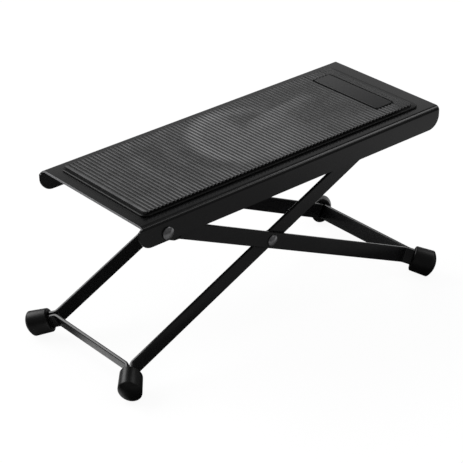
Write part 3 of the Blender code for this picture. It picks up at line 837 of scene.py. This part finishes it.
@dataclass
class PressedPlatform:
    """Steel sheet bent down along both long sides, with round lower corners."""

    bend_radius: float = 3.2 * MM
    flange_depth: float = 16.7 * MM
    corner_radius: float = 10 * MM
    flange_reach: float = 2.6 * MM
    cut_edge: float = 0.3 * MM
    cut_steps: int = 3
    bend_steps: int = 16
    corner_steps: int = 16
    row_shares: tuple[float, ...] = (0.7, 0.35)
    columns: int = 24

    def ends(self, z: float) -> tuple[float, float]:
        """Least and greatest x of the sheet at a height below its top face.

        Args:
            z: Height, which is 0 at the top face.

        Returns:
            Least and greatest x.
        """
        half = PLATFORM_LENGTH / 2
        corner_z = self.corner_radius - self.flange_depth
        low = -half - max(0.0, min(self.flange_reach, -SHEET / 4 - z))
        high = half
        if z < corner_z:
            drop = corner_z - z
            inset = self.corner_radius - sqrt(max(0.0, self.corner_radius ** 2 - drop ** 2))
            low, high = low + inset, high - inset
        return low, high

    def half_profile(self) -> list[Point]:
        """Points (y, z) on the outer face of one side, from the flange's foot to mid width.

        Returns:
            The points, from the foot up.
        """
        half = PLATFORM_WIDTH / 2
        corner_z = self.corner_radius - self.flange_depth
        points = []
        for i in range(self.corner_steps + 1):
            turn = radians(90 * i / self.corner_steps)
            points.append((half, corner_z - self.corner_radius * cos(turn)))
        bend = (half - self.bend_radius, -self.bend_radius)
        points += arc(bend, self.bend_radius, 0, 90, self.bend_steps)
        return points + [(half * share, 0.0) for share in self.row_shares]

    def build(self, stance: Stance, looks: Looks) -> Object:
        """Bends the sheet, gives it its thickness, holes and dulled cut edges.

        Args:
            stance: Where the footrest stands.
            looks: The finishes.

        Returns:
            The sheet.
        """
        side = self.half_profile()
        profile = side + [(0.0, 0.0)] + [(-y, z) for y, z in reversed(side)]
        bm = bmesh.new()
        rows = []
        for y, z in profile:
            low, high = self.ends(z)
            xs = [low + (high - low) * i / self.columns for i in range(self.columns + 1)]
            rows.append([bm.verts.new((x, y, z)) for x in xs])
        for first, second in zip(rows, rows[1:]):
            for a, b, c, d in zip(first, first[1:], second[1:], second):
                bm.faces.new((d, c, b, a))
        piece = new_object("platform_sheet", bm, stance.platform)
        solid = piece.modifiers.new("thickness", "SOLIDIFY")
        solid.thickness = SHEET
        solid.offset = -1
        solid.use_even_offset = True
        settle(piece)
        drill(piece, Matrix.Translation(stance.pivot))
        soften(piece, self.cut_edge, self.cut_steps)
        return finish_piece(piece, Body.PLATFORM, Slot.COATED, looks.coat, "platform")


def corner_reach(x: float, half_x: float, half_y: float, radius: float) -> float:
    """Half extent along Y at x of a rectangle with round corners about the origin.

    Args:
        x: Where along X.
        half_x: Half its size along X.
        half_y: Half its size along Y.
        radius: Radius of its corners.

    Returns:
        The half extent.
    """
    past = min(abs(x) - (half_x - radius), radius)
    if past <= 0:
        return half_y
    return half_y - radius + sqrt(max(0.0, radius ** 2 - past ** 2))


def rounded_rim(half: float, top: float, radius: float, room: float) -> list[Point]:
    """Points (y, z) up over a rounded rim, no deeper than the room below its top.

    Args:
        half: Where the rim's side lies, out from the middle.
        top: Height of its top.
        radius: Radius of the rim.
        room: Height that the rim can take up.

    Returns:
        The points, from the side to the top.
    """
    rise = min(radius, room)
    turns = [radians(90 * i / RIM_STEPS) for i in range(RIM_STEPS + 1)]
    return [(half - radius * (1 - cos(t)), top - rise * (1 - sin(t))) for t in turns]


def edge_drop(inset: float, radius: float) -> float:
    """How far a rounded rim lies below its top, at a distance in from its side.

    Args:
        inset: Distance in from the side.
        radius: Radius of the rim.

    Returns:
        The drop.
    """
    if inset >= radius:
        return 0.0
    return radius - sqrt(max(0.0, radius ** 2 - (radius - max(0.0, inset)) ** 2))


@dataclass
class RibbedMat:
    """Moulded rubber mat: thin lip, rounded ribs across it, and a smooth panel in a moat."""

    end_margin: float = 8.6 * MM
    high_margin: float = 11.6 * MM
    high_lip: float = 5.6 * MM
    side_margin: float = 8.9 * MM
    lip_height: float = 1.1 * MM
    lip_radius: float = 5.0 * MM
    lip_width: float = 2.1 * MM
    lip_edge: float = 0.3 * MM
    end_edge: float = 0.8 * MM
    height: float = 3.1 * MM
    rib_pitch: float = 3.2 * MM
    rib_height: float = 1.1 * MM
    rib_top_share: float = 0.32
    rib_flank_share: float = 0.16
    rib_steps: int = 3
    edge_radius: float = 0.25 * MM
    side_edge: float = 0.12 * MM
    block_radius: float = 2.6 * MM
    wall_lean: float = 0.03 * MM
    panel_length: float = 66.6 * MM
    panel_width: float = 15.6 * MM
    panel_place: float = 103.4 * MM
    panel_proud: float = 0.3 * MM
    panel_moat: float = 1.6 * MM
    panel_radius: float = 1.5 * MM
    panel_edge: float = 0.4 * MM
    corner_steps: int = 8
    places: int = 7
    sharp: float = 40.0

    def __post_init__(self) -> None:
        """Works out the extents of the lip, the ribbed block and the moat."""
        low = self.end_margin - PLATFORM_LENGTH / 2
        high = PLATFORM_LENGTH / 2 - self.high_margin
        self.base_middle = (low + high) / 2
        self.base_x = (high - low) / 2
        self.base_y = PLATFORM_WIDTH / 2 - self.side_margin
        self.middle = (low + self.lip_width + high - self.high_lip) / 2
        self.half_x = (high - self.high_lip - low - self.lip_width) / 2
        self.half_y = self.base_y - self.lip_width
        self.valley = self.height - self.rib_height
        self.moat_half_x = self.panel_width / 2 + self.panel_moat
        self.moat_half_y = self.panel_length / 2 + self.panel_moat
        self.moat_floor = self.valley - self.panel_proud
        self.panel_top = self.height + self.panel_proud

    def rib_line(self) -> list[Point]:
        """Points (x, z) over the ribs from end to end, with rounded shoulders and roots.

        Returns:
            The points.
        """
        count = round(2 * self.half_x / self.rib_pitch)
        pitch = 2 * self.half_x / count
        gap = (1 - self.rib_top_share) * pitch / 2
        flank = self.rib_flank_share * pitch
        start = self.middle - self.half_x
        corners = [(start - self.wall_lean, self.lip_height)]
        for i in range(count):
            left = start + i * pitch
            right = left + pitch
            corners += ([(left + gap - flank, self.valley), (left + gap, self.height)] if i
                        else [(left, self.height)])
            corners += ([(right - gap, self.height), (right - gap + flank, self.valley)]
                        if i + 1 < count else [(right, self.height)])
        corners.append((self.middle + self.half_x + self.wall_lean, self.lip_height))
        path = filleted([Vector(corner) for corner in corners], self.edge_radius, self.rib_steps)
        return [(p.x, p.y) for p in path]

    def stations(self, ribs: list[Point]) -> list[float]:
        """Places along X where the mat has a section: every turn of its ribs, rims and corners.

        Args:
            ribs: Points over the ribs.

        Returns:
            The places, in order.
        """
        places = {round(x, self.places) for x, _ in ribs}
        turns = [radians(90 * i / self.corner_steps) for i in range(self.corner_steps + 1)]
        moat_radius = self.panel_radius + self.panel_moat
        for middle, half, radius, edge in (
                (self.base_middle, self.base_x, self.lip_radius, self.end_edge),
                (self.middle, self.half_x, self.block_radius, self.wall_lean),
                (self.panel_place, self.moat_half_x, moat_radius, self.wall_lean),
                (self.panel_place, self.panel_width / 2, self.panel_radius, self.panel_edge)):
            places |= {round(middle + sign * (half - rim * (1 - sin(turn))), self.places)
                       for turn in turns for sign in (-1, 1) for rim in (radius, edge)}
        return sorted(places)

    def side(self, x: float, top: float) -> list[Point]:
        """Points (y, z) of half a section, from its foot in to the middle.

        Args:
            x: Where along the mat the section is.
            top: Height of the ribs there.

        Returns:
            As many points at every x.
        """
        past = abs(x - self.base_middle)
        lip_half = corner_reach(past, self.base_x, self.base_y, self.lip_radius)
        lip_top = self.lip_height - edge_drop(self.base_x - past, self.end_edge)
        lean = self.wall_lean
        top = top if abs(x - self.middle) <= self.half_x + lean else lip_top
        block_half = corner_reach(x - self.middle, self.half_x, self.half_y, self.block_radius)
        points = [(lip_half, 0.0)] + rounded_rim(lip_half, lip_top, self.lip_edge, lip_top)
        points.append((block_half, lip_top))
        points += rounded_rim(block_half - lean, top, self.side_edge, top - lip_top)
        across = abs(x - self.panel_place)
        moat_half = corner_reach(across, self.moat_half_x, self.moat_half_y,
                                 self.panel_radius + self.panel_moat)
        low = self.moat_floor if across < self.moat_half_x - lean / 2 else top
        points += [(moat_half, top), (moat_half - lean, low)]
        panel_inset = self.panel_width / 2 - across
        panel_half = corner_reach(across, self.panel_width / 2, self.panel_length / 2,
                                  self.panel_radius)
        high = low
        if panel_inset > 0:
            high = self.panel_top - edge_drop(panel_inset, self.panel_edge)
        points.append((panel_half, low))
        return points + rounded_rim(panel_half - lean, high, self.panel_edge, high - low)

    def build(self, stance: Stance, looks: Looks) -> Object:
        """Moulds the mat from its sections and lays it on the platform.

        Args:
            stance: Where the footrest stands.
            looks: The finishes.

        Returns:
            The mat.
        """
        ribs = self.rib_line()
        rings = []
        i = 0
        for x in self.stations(ribs):
            while i + 2 < len(ribs) and ribs[i + 1][0] < x:
                i += 1
            (x0, z0), (x1, z1) = ribs[i], ribs[i + 1]
            share = min(1.0, max(0.0, (x - x0) / max(MERGE / 10, x1 - x0)))
            half = self.side(x, z0 + (z1 - z0) * share)
            rings.append([(x, y, z) for y, z in half] + [(x, -y, z) for y, z in reversed(half)])
        seat = stance.platform @ Matrix.Translation((0, 0, SEAT_GAP))
        piece = new_object("ribbed_mat", loft(rings), seat, self.sharp)
        return finish_piece(piece, Body.PLATFORM, Slot.MAT, looks.mat, "mat")


@dataclass
class FlatBar:
    """Flat bar of both leg frames."""

    width: float = 12 * MM
    thickness: float = 2.5 * MM
    edge_radius: float = 0.8 * MM
    edge_steps: int = 6
    bend_radius: float = 4 * MM
    bend_steps: int = 14
    fold_gap: float = 0.8 * MM

    @property
    def fold_half(self) -> float:
        """Half the distance between the centre lines of a folded ear's two layers."""
        return (self.fold_gap + self.thickness) / 2

    def bent(self, path: Sequence[Vector], half_widths: Sequence[float]) -> BMesh:
        """Bar that follows a path in X and Y, with its width along Z.

        Args:
            path: Points of its centre line.
            half_widths: Half of the bar's width at each point.

        Returns:
            A closed mesh.
        """
        rings = []
        for i, point in enumerate(path):
            before = (point - path[i - 1]).normalized() if i else None
            after = (path[i + 1] - point).normalized() if i + 1 < len(path) else None
            along = ((before or after) + (after or before)).normalized()
            across = Vector((-along.y, along.x))
            last = after or before
            widen = 1 / across.dot(Vector((-last.y, last.x)))
            radius = min(self.edge_radius, half_widths[i] / 2)
            section = rounded_outline(self.thickness / 2, half_widths[i], radius, self.edge_steps)
            rings.append([(point.x + across.x * s * widen, point.y + across.y * s * widen, w)
                          for s, w in section])
        return loft(rings)


@dataclass
class LegFrame:
    """One flat bar bent to a U, with a folded ear at each corner and round leg ends."""

    name: str
    node: str
    body: Body
    arm: float
    reach: float
    half_span: float
    end_half_span: float
    ear_shift: float = 0.0
    joggle_start: float = 11.5 * MM
    joggle_run: float = 9.0 * MM
    joggle_radius: float = 5 * MM
    joggle_steps: int = 8
    end_steps: int = 14
    sharp: float = 40.0
    bar: FlatBar = field(default_factory=FlatBar)

    def leg_end(self, y: float) -> tuple[list[Vector], list[float]]:
        """Stations of a leg's round end: points, and the bar's half width at each.

        Args:
            y: Where the leg's centre line lies across the footrest.

        Returns:
            Points of the centre line, and the half widths.
        """
        radius = self.bar.width / 2
        points, widths = [], []
        for i in range(1, self.end_steps + 1):
            turn = radians(90 * i / self.end_steps)
            points.append(Vector((-self.arm - radius * cos(turn), y)))
            widths.append(radius * sin(turn))
        return points, widths

    def ear(self, corner: Vector) -> tuple[list[Vector], list[Vector], list[Vector]]:
        """Corners of the leg's arm, points of the hairpin, and corners of the crossbar's arm.

        Args:
            corner: Where the centre lines of leg and crossbar would meet.

        Returns:
            The three runs of points.
        """
        outward = Vector((1, -1)).normalized()
        to_leg = Vector((-1, -1)).normalized()
        fold = self.bar.fold_half
        length = CAP_END - CAP_FLOOR - self.bar.thickness / 2 - fold
        tip = corner + to_leg * self.ear_shift + outward * length
        leg = [corner - Vector((self.reach / 2, 0)),
               corner - Vector((sqrt(2) * (fold + self.ear_shift), 0)), tip + to_leg * fold]
        hairpin = []
        for i in range(1, self.bar.bend_steps):
            turn = Matrix.Rotation(pi * i / self.bar.bend_steps, 2)
            hairpin.append(tip + turn @ (to_leg * fold))
        cross = [tip - to_leg * fold,
                 corner + Vector((0, sqrt(2) * (fold - self.ear_shift))),
                 Vector((corner.x, 0))]
        return leg, hairpin, cross

    def path(self) -> tuple[list[Vector], list[float]]:
        """Centre line and half widths, from the near leg's end round to the far leg's end.

        Returns:
            Points of the centre line, and the half widths.
        """
        leg_y = self.half_span - self.bar.thickness / 2
        end_y = self.end_half_span - self.bar.thickness / 2
        corner = Vector((self.reach - self.bar.thickness / 2, -leg_y))
        ends, widths = self.leg_end(-end_y)
        straight = [ends[-1]]
        if self.end_half_span != self.half_span:
            start = -self.arm + self.joggle_start
            straight += [Vector((start, -end_y)), Vector((start + self.joggle_run, -leg_y))]
        leg, hairpin, cross = self.ear(corner)
        run = filleted(straight + [leg[0]], self.joggle_radius, self.joggle_steps)
        near = ends[:-1] + run[:-1] + filleted(leg, self.bar.bend_radius, self.bar.bend_steps)[1:]
        near += hairpin + filleted(cross, self.bar.bend_radius, self.bar.bend_steps)
        widths = widths[:-1] + [self.bar.width / 2] * (len(near) - len(widths) + 1)
        far = [Vector((p.x, -p.y)) for p in reversed(near[:-1])]
        return near + far, widths + list(reversed(widths[:-1]))

    def build(self, place: Matrix, looks: Looks) -> Object:
        """Bends the bar and drills its holes.

        Args:
            place: Frame of the bar, whose origin is the crossing.
            looks: The finishes.

        Returns:
            The bent bar.
        """
        path, widths = self.path()
        piece = new_object(self.name, self.bar.bent(path, widths), place)
        for x in (0.0, -self.arm):
            drill(piece, place @ Matrix.Translation((x, 0, 0)))
        smooth(piece.data, self.sharp)
        return finish_piece(piece, self.body, Slot.COATED, looks.coat, self.node)


@dataclass
class FootCap:
    """Moulded rubber cap over an ear: oval, with a low dome, worn flat underneath."""

    start: float = 4.2 * MM
    mouth_radius: float = 7.65 * MM
    end_radius: float = 8.1 * MM
    end_half_height: float = 10.4 * MM
    rim_radius: float = 1.2 * MM
    edge_radius: float = 2.0 * MM
    dome_height: float = 4.7 * MM
    ear_shift: float = 0.0
    sag: float = 0.0
    steps: int = 72
    edge_steps: int = 8
    dome_steps: int = 14
    slot_steps: int = 6
    sharp: float = 35.0

    def profile(self) -> list[Point]:
        """Half section (radius, distance along the ear), from the mouth to the end.

        Returns:
            The points.
        """
        rim = (self.mouth_radius - self.rim_radius, self.start + self.rim_radius)
        edge = (self.end_radius - self.edge_radius, CAP_END - self.dome_height)
        rise = edge[0] ** 2 + self.dome_height ** 2 - self.edge_radius ** 2
        radius = rise / (2 * (self.dome_height - self.edge_radius))
        turn = degrees(atan2(radius - self.dome_height, edge[0]))
        points = [(0.0, self.start)] + arc(rim, self.rim_radius, 270, 360, self.edge_steps)
        points += arc(edge, self.edge_radius, 0, turn, self.edge_steps)
        points += arc((0.0, CAP_END - radius), radius, turn, 90, self.dome_steps)[1:-1]
        return points + [(0.0, CAP_END)]

    def build(self, name: str, side: Side, frame_part: LegFrame, place: Matrix, looks: Looks
              ) -> Object:
        """Moulds the cap over an ear of a leg frame, and cuts it flat where it stands.

        Args:
            name: Name of the solid that it replaces.
            side: Side that it is on.
            frame_part: Leg frame whose ear it caps.
            place: Frame of that leg frame.
            looks: The finishes.

        Returns:
            The cap.
        """
        bar = frame_part.bar
        sign = side.value
        corner = Vector((frame_part.reach - bar.thickness / 2,
                         sign * (frame_part.half_span - bar.thickness / 2), 0))
        corner += Vector((-1, sign, 0)).normalized() * self.ear_shift
        outward = Vector((1, sign, 0)).normalized()
        up = Vector((0, 0, 1))
        turn = Matrix((up.cross(outward), up, outward)).transposed().to_4x4()
        seat = place @ Matrix.Translation(corner) @ turn
        bm = turned(self.profile(), self.steps)
        bmesh.ops.scale(bm, verts=bm.verts, vec=(1, self.end_half_height / self.end_radius, 1))
        bmesh.ops.translate(bm, verts=bm.verts, vec=(0, -self.sag, 0))
        ground = seat.inverted()
        cut = bmesh.ops.bisect_plane(bm, geom=bm.verts[:] + bm.edges[:] + bm.faces[:], dist=MERGE,
                                     plane_co=ground @ Vector((0, 0, 0)),
                                     plane_no=ground.to_3x3() @ Vector((0, 0, -1)),
                                     clear_outer=True)
        rim = [e for e in cut["geom_cut"] if isinstance(e, BMEdge)]
        bmesh.ops.contextual_create(bm, geom=rim)
        bmesh.ops.recalc_face_normals(bm, faces=bm.faces)
        piece = new_object(name + "_moulding", bm, seat)
        slot = rounded_outline(bar.fold_half + bar.thickness / 2 + SEAT_GAP,
                               bar.width / 2 + SEAT_GAP, bar.fold_gap, self.slot_steps)
        reach = CAP_END - CAP_FLOOR + SEAT_GAP
        carve(piece, prism(slot, self.start - self.rim_radius, reach), seat)
        smooth(piece.data, self.sharp)
        return finish_piece(piece, frame_part.body, Slot.CAP, looks.cap, name)


@dataclass
class Rivet:
    """Solid rivet with a round, slightly crowned head outside and a swaged tail inside."""

    head_radius: float
    head_height: float
    grip: float
    shank_radius: float = 2.4 * MM
    tail_radius: float = 3.8 * MM
    tail_height: float = 1.5 * MM
    edge: float = 0.5 * MM
    crown: float = 1.0 * MM
    edge_steps: int = 6
    crown_steps: int = 8

    def profile(self) -> list[Point]:
        """Half section (radius, height), from the tail up to the head.

        Returns:
            The points.
        """
        edge = self.edge
        bottom = -self.grip - self.tail_height
        tail = (self.tail_radius - edge, bottom + edge)
        points = [(0.0, bottom)] + arc(tail, edge, 270, 360, self.edge_steps)
        points += [(self.tail_radius, -self.grip), (self.shank_radius, -self.grip),
                   (self.shank_radius, 0.0), (self.head_radius, 0.0)]
        rim = self.head_radius - edge
        radius = (rim ** 2 + self.crown ** 2) / (2 * self.crown)
        half = degrees(asin(rim / radius))
        shoulder = (rim, self.head_height - self.crown - edge)
        points += arc(shoulder, edge, 0, 90 - half, self.edge_steps)
        centre = (0.0, self.head_height - radius)
        return points + arc(centre, radius, 90 - half, 90, self.crown_steps)[1:]

    def build(self, name: str, body: Body, side: Side, place: Matrix, seat: float, looks: Looks
              ) -> Object:
        """Turns the rivet and sets its head's underside at a distance from mid width.

        Args:
            name: Name of the solid that it replaces.
            body: Body that it moves with.
            side: Side that it is on.
            place: Where the rivet's axis crosses mid width.
            seat: Distance of the head's underside from mid width.
            looks: The finishes.

        Returns:
            The rivet.
        """
        bm = turned(self.profile(), TURNED_STEPS)
        piece = new_object(name + "_steel", bm, facing(side, place, seat))
        return finish_piece(piece, body, Slot.PLATED, looks.plate, name)


@dataclass
class Washer:
    """Flat washer with dulled edges round a rivet's shank."""

    height: float
    radius: float = 5.5 * MM
    edge: float = 0.15 * MM
    edge_steps: int = 2

    def disc(self, radius: float, low: float, high: float) -> BMesh:
        """Closed mesh of a round disc between two heights."""
        return prism(arc((0, 0), radius, 0, 360, TURNED_STEPS)[:-1], low, high)

    def build(self, name: str, body: Body, side: Side, place: Matrix, face: float, looks: Looks
              ) -> Object:
        """Turns the washer and sets its inner face at a distance from mid width.

        Args:
            name: Name of the solid that it replaces.
            body: Body that it moves with.
            side: Side that it is on.
            place: Where the washer's axis crosses mid width.
            face: Distance of its inner face from mid width.
            looks: The finishes.

        Returns:
            The washer.
        """
        stand = facing(side, place, face)
        piece = new_object(name + "_steel", self.disc(self.radius, 0.0, self.height), stand)
        bore = self.disc(HOLE_RADIUS, -self.height, 2 * self.height)
        carve(piece, bore, stand)
        soften(piece, self.edge, self.edge_steps)
        return finish_piece(piece, body, Slot.PLATED, looks.plate, name)


@dataclass
class SupportRod:
    """Round rod between the inner frame's legs, with a spigot in each."""

    radius: float = 3 * MM
    spigot_radius: float = 2.2 * MM
    chamfer: float = 0.4 * MM

    def build(self, legs: LegFrame, place: Matrix, looks: Looks) -> Object:
        """Turns the rod and sets it across the inner frame's leg ends.

        Args:
            legs: The inner leg frame.
            place: Frame of the leg frame.
            looks: The finishes.

        Returns:
            The rod.
        """
        shoulder = legs.half_span - legs.bar.thickness - SEAT_GAP
        end = legs.half_span
        half = [(self.radius - self.chamfer, shoulder), (self.spigot_radius, shoulder),
                (self.spigot_radius, end - self.chamfer),
                (self.spigot_radius - self.chamfer, end), (0.0, end)]
        half = [(self.radius, shoulder - self.chamfer)] + half
        profile = [(r, -y) for r, y in reversed(half)] + half
        stand = place @ Matrix.Translation((-legs.arm, 0, 0)) @ ACROSS
        piece = new_object("cross_rod", turned(profile, TURNED_STEPS), stand)
        return finish_piece(piece, Body.INNER, Slot.PLATED, looks.plate, "support_rod")


@dataclass(frozen=True)
class Softbox:
    """Soft lamp whose face is as bright as its level, seen from the footrest in one direction."""

    name: str
    azimuth: float
    elevation: float
    width: float
    height: float
    level: float
    distance: float = 2.2

    def build(self, target: Vector) -> None:
        """Hangs the lamp so that it looks at a target.

        Args:
            target: Point that it looks at.
        """
        away = heading(self.azimuth, self.elevation)
        data = bpy.data.lights.new(self.name, "AREA")
        data.shape = "RECTANGLE"
        data.size = self.width
        data.size_y = self.height
        data.energy = self.level * pi * self.width * self.height
        made = bpy.data.objects.new(self.name, data)
        made.location = target + away * self.distance
        made.rotation_euler = (-away).to_track_quat("-Z", "Y").to_euler()
        bpy.context.scene.collection.objects.link(made)


@dataclass
class Studio:
    """White floor in a plain bright room, with soft lamps and a dim surround for reflections."""

    floor_half: float = 4.0
    floor_level: float = 0.86
    shade_share: float = 0.10
    glow: float = 0.92
    front_level: float = 0.215
    front_right_level: float = 0.50
    distant_level: float = 0.05
    front_edge: Span = (-60 * MM, -48 * MM)
    strip_left: Span = (-170 * MM, -158 * MM)
    strip_right: Span = (-128 * MM, -116 * MM)
    # painted shadow: how far under the footrest reflections see the floor dark
    under_depth: float = 130 * MM
    beside_span: Span = (170 * MM, 200 * MM)
    beside_share: float = 0.6
    # painted shade: reflections see the floor darker just in front of the footrest
    near_span: Span = (-108 * MM, -82 * MM)
    near_share: float = 0.8
    far_span: Span = (12 * MM, 42 * MM)
    far_share: float = 0.8
    distant_span: Span = (-0.50, -0.28)
    right_span: Span = (0.10, 0.34)
    room_level: float = 0.55
    surround_level: float = 0.10
    softboxes: tuple[Softbox, ...] = (
        Softbox("back_panel", azimuth=40.0, elevation=21.0, width=1.3, height=0.4, level=0.36,
                distance=0.8),
        Softbox("back_left_box", azimuth=-28.0, elevation=36.0, width=2.0, height=1.2, level=4.5),
        Softbox("front_right_box", azimuth=134.0, elevation=39.5, width=0.8, height=0.42,
                level=1.4),
        Softbox("right_top_box", azimuth=107.0, elevation=48.0, width=0.36, height=0.33,
                level=2.8, distance=1.14),
    )

    def floor(self) -> Object:
        """Large white floor; reflections see it darker in front of the footrest, with painted shadow under it and
        painted shade just in front.

        Returns:
            The floor.
        """
        bm = bmesh.new()
        bmesh.ops.create_grid(bm, x_segments=1, y_segments=1, size=self.floor_half)
        made = new_object("floor", bm, Matrix.Identity(4))
        look, graph = new_material("floor_paint")
        x, y, _ = graph.apart(graph.place())
        camera = graph.node("ShaderNodeLightPath", {}, {}, "Is Camera Ray")
        glossy = graph.node("ShaderNodeLightPath", {}, {}, "Is Glossy Ray")
        # reflections only: painted shadow under the footrest, except in a strip at the low end and beside the high
        # end
        strip = x.stepped(*self.strip_left) - x.stepped(*self.strip_right)
        beside = x.stepped(*self.beside_span) * self.beside_share
        behind = (y - (1 - strip - beside) * self.under_depth).stepped(*self.front_edge)
        behind = behind * x.stepped(*self.strip_left)
        behind = behind * (1 - strip * y.stepped(*self.far_span) * self.far_share)
        front = self.front_level + x.stepped(*self.right_span) * (
            self.front_right_level - self.front_level)
        front = self.distant_level + y.stepped(*self.distant_span) * (front - self.distant_level)
        # painted shade: darker still just in front of the footrest
        front = front * (1 - y.stepped(*self.near_span) * self.near_share)
        seen = front + behind * (self.floor_level - front)
        level = self.floor_level + glossy * (seen - self.floor_level)
        level = level + camera * (self.shade_share - level)
        glow = camera * self.glow
        graph.surface({"Base Color": graph.grey(level), "Roughness": 1.0,
                       "Specular IOR Level": 0.0, "Emission Color": graph.grey(glow),
                       "Emission Strength": 1.0})
        made.data.materials.append(look)
        return made

    def world(self) -> None:
        """Plain room, white to the camera; reflections see a dim surround behind the lamps."""
        world = bpy.data.worlds.new("studio")
        world.use_nodes = True
        bpy.context.scene.world = world
        graph = Graph(world.node_tree)
        glossy = graph.node("ShaderNodeLightPath", {}, {}, "Is Glossy Ray")
        camera = graph.node("ShaderNodeLightPath", {}, {}, "Is Camera Ray")
        level = self.room_level + glossy * (self.surround_level - self.room_level)
        level = level + camera * (1 - self.room_level)
        back = graph.node("ShaderNodeBackground", {}, {"Color": (1, 1, 1), "Strength": level})
        graph.add("ShaderNodeOutputWorld", {}, {"Surface": back})

    def build(self, stance: Stance) -> None:
        """Sets up the floor, the world and the lamps.

        Args:
            stance: Where the footrest stands.
        """
        self.floor()
        self.world()
        for softbox in self.softboxes:
            softbox.build(stance.crossing)
        log.info("studio: floor, world and %d lamps", len(self.softboxes))


@dataclass
class Viewpoint:
    """Camera at the photograph's viewpoint, worked out in the platform's own frame."""

    azimuth: float = -40.076
    elevation: float = 29.195
    roll: float = -0.956
    distance: float = 1.2272
    target: tuple[float, float, float] = (-0.01596, 0.0, -0.07097)
    sensor: float = 36.0
    lens_in_pixels: float = 1698.97
    image_width: float = 463.0

    def build(self, stance: Stance) -> None:
        """Makes the camera and gives it to the scene.

        Args:
            stance: Where the footrest stands.
        """
        turn = radians(self.azimuth)
        back = heading(self.azimuth, self.elevation)
        back.y = -back.y
        right = Vector((cos(turn), sin(turn), 0))
        up = back.cross(right)
        lean = radians(self.roll)
        right_turned = right * cos(lean) + up * sin(lean)
        up_turned = up * cos(lean) - right * sin(lean)
        axes = Matrix((right_turned, up_turned, back)).transposed().to_4x4()
        place = Matrix.Translation(Vector(self.target) + back * self.distance) @ axes
        data = bpy.data.cameras.new("camera")
        data.sensor_width = data.sensor_height = self.sensor
        data.sensor_fit = "HORIZONTAL"
        data.lens = self.lens_in_pixels / self.image_width * self.sensor
        made = bpy.data.objects.new("camera", data)
        bpy.context.scene.collection.objects.link(made)
        made.matrix_world = stance.platform @ place
        bpy.context.scene.camera = made
        log.info("camera at %s", tuple(round(v, 4) for v in made.matrix_world.translation))


@dataclass
class Footrest:
    """The whole footrest, from the platform down to the foot caps."""

    frame_gap: float = 0.4 * MM
    pivot_washer: float = 1.0 * MM
    crossing_washer: float = 0.8 * MM
    pivot_head: tuple[float, float] = (4.5 * MM, 2.1 * MM)
    crossing_head: tuple[float, float] = (4.2 * MM, 1.6 * MM)
    outer_half_span: float = 47.9 * MM
    outer_reach: float = 154.7 * MM
    inner_reach: float = 136.7 * MM
    high_ear_shift: float = 1.5 * MM
    high_cap_sag: float = 0.8 * MM
    bar: FlatBar = field(default_factory=FlatBar)

    def __post_init__(self) -> None:
        """Works out how frames and washers stack up across the footrest."""
        self.leg_face = PLATFORM_WIDTH / 2 - SHEET - self.pivot_washer - 2 * SEAT_GAP
        self.inner_half_span = self.outer_half_span - self.bar.thickness - self.frame_gap
        self.inner_face = self.inner_half_span - self.bar.thickness

    def frames(self, stance: Stance) -> tuple[LegFrame, LegFrame]:
        """Outer and inner leg frames.

        Args:
            stance: Where the footrest stands.

        Returns:
            The two frames.
        """
        outer = LegFrame("outer_legs", "outer_frame", Body.OUTER, stance.arm, self.outer_reach,
                         self.outer_half_span, self.leg_face, self.high_ear_shift)
        inner = LegFrame("inner_legs", "inner_frame", Body.INNER, stance.arm, self.inner_reach,
                         self.inner_half_span, self.inner_half_span)
        return outer, inner

    def hardware(self, side: Side, stance: Stance, looks: Looks) -> None:
        """Rivets and washers of one side.

        Args:
            side: Side that it is on.
            stance: Where the footrest stands.
            looks: The finishes.
        """
        pivot = Matrix.Translation(stance.pivot)
        crossing = Matrix.Translation(stance.crossing)
        flange_face = PLATFORM_WIDTH / 2 + SEAT_GAP
        crossing_face = self.outer_half_span + SEAT_GAP
        pivot_grip = flange_face + SEAT_GAP - self.leg_face + self.bar.thickness
        washer_face = self.inner_face - SEAT_GAP - self.crossing_washer
        crossing_grip = crossing_face + SEAT_GAP - washer_face
        for name, made, body, place, face in (
                ("pivot_rivet", Rivet(*self.pivot_head, pivot_grip), Body.OUTER, pivot,
                 flange_face),
                ("pivot_washer", Washer(self.pivot_washer), Body.OUTER, pivot,
                 self.leg_face + SEAT_GAP),
                ("crossing_rivet", Rivet(*self.crossing_head, crossing_grip), Body.OUTER,
                 crossing, crossing_face),
                ("crossing_washer", Washer(self.crossing_washer), Body.INNER, crossing,
                 washer_face)):
            made.build(f"{name}_{side.word}", body, side, place, face, looks)

    def racks(self, looks: Looks) -> None:
        """Coats the notched racks, whose solids are right as they are.

        Args:
            looks: The finishes.
        """
        for side in Side:
            rack = frame["nodes"]["rack_" + side.word]
            rack.data.materials.clear()
            rack.data.materials.append(looks.coat)
            log.info("%s: coated", rack.name)

    def build(self, stance: Stance, looks: Looks) -> None:
        """Builds every piece.

        Args:
            stance: Where the footrest stands.
            looks: The finishes.
        """
        PressedPlatform().build(stance, looks)
        RibbedMat().build(stance, looks)
        outer, inner = self.frames(stance)
        outer.build(stance.outer, looks)
        inner.build(stance.inner, looks)
        SupportRod().build(inner, stance.inner, looks)
        high_cap = FootCap(ear_shift=self.high_ear_shift, sag=self.high_cap_sag)
        low_cap = FootCap()
        for side in Side:
            self.hardware(side, stance, looks)
            high_cap.build("high_cap_" + side.word, side, outer, stance.outer, looks)
            low_cap.build("low_cap_" + side.word, side, inner, stance.inner, looks)
        self.racks(looks)


def main() -> None:
    """Builds the footrest, its studio and its camera."""
    logging.basicConfig(level=logging.INFO, format="%(name)s: %(message)s")
    bpy.context.scene.view_settings.view_transform = "Standard"
    stance = Stance()
    Viewpoint().build(stance)
    Studio().build(stance)
    Footrest().build(stance, Looks(MatRubber().make(stance.platform),
                                   PowderCoat().make(stance.platform)))


if __name__ == "__main__":
    main()
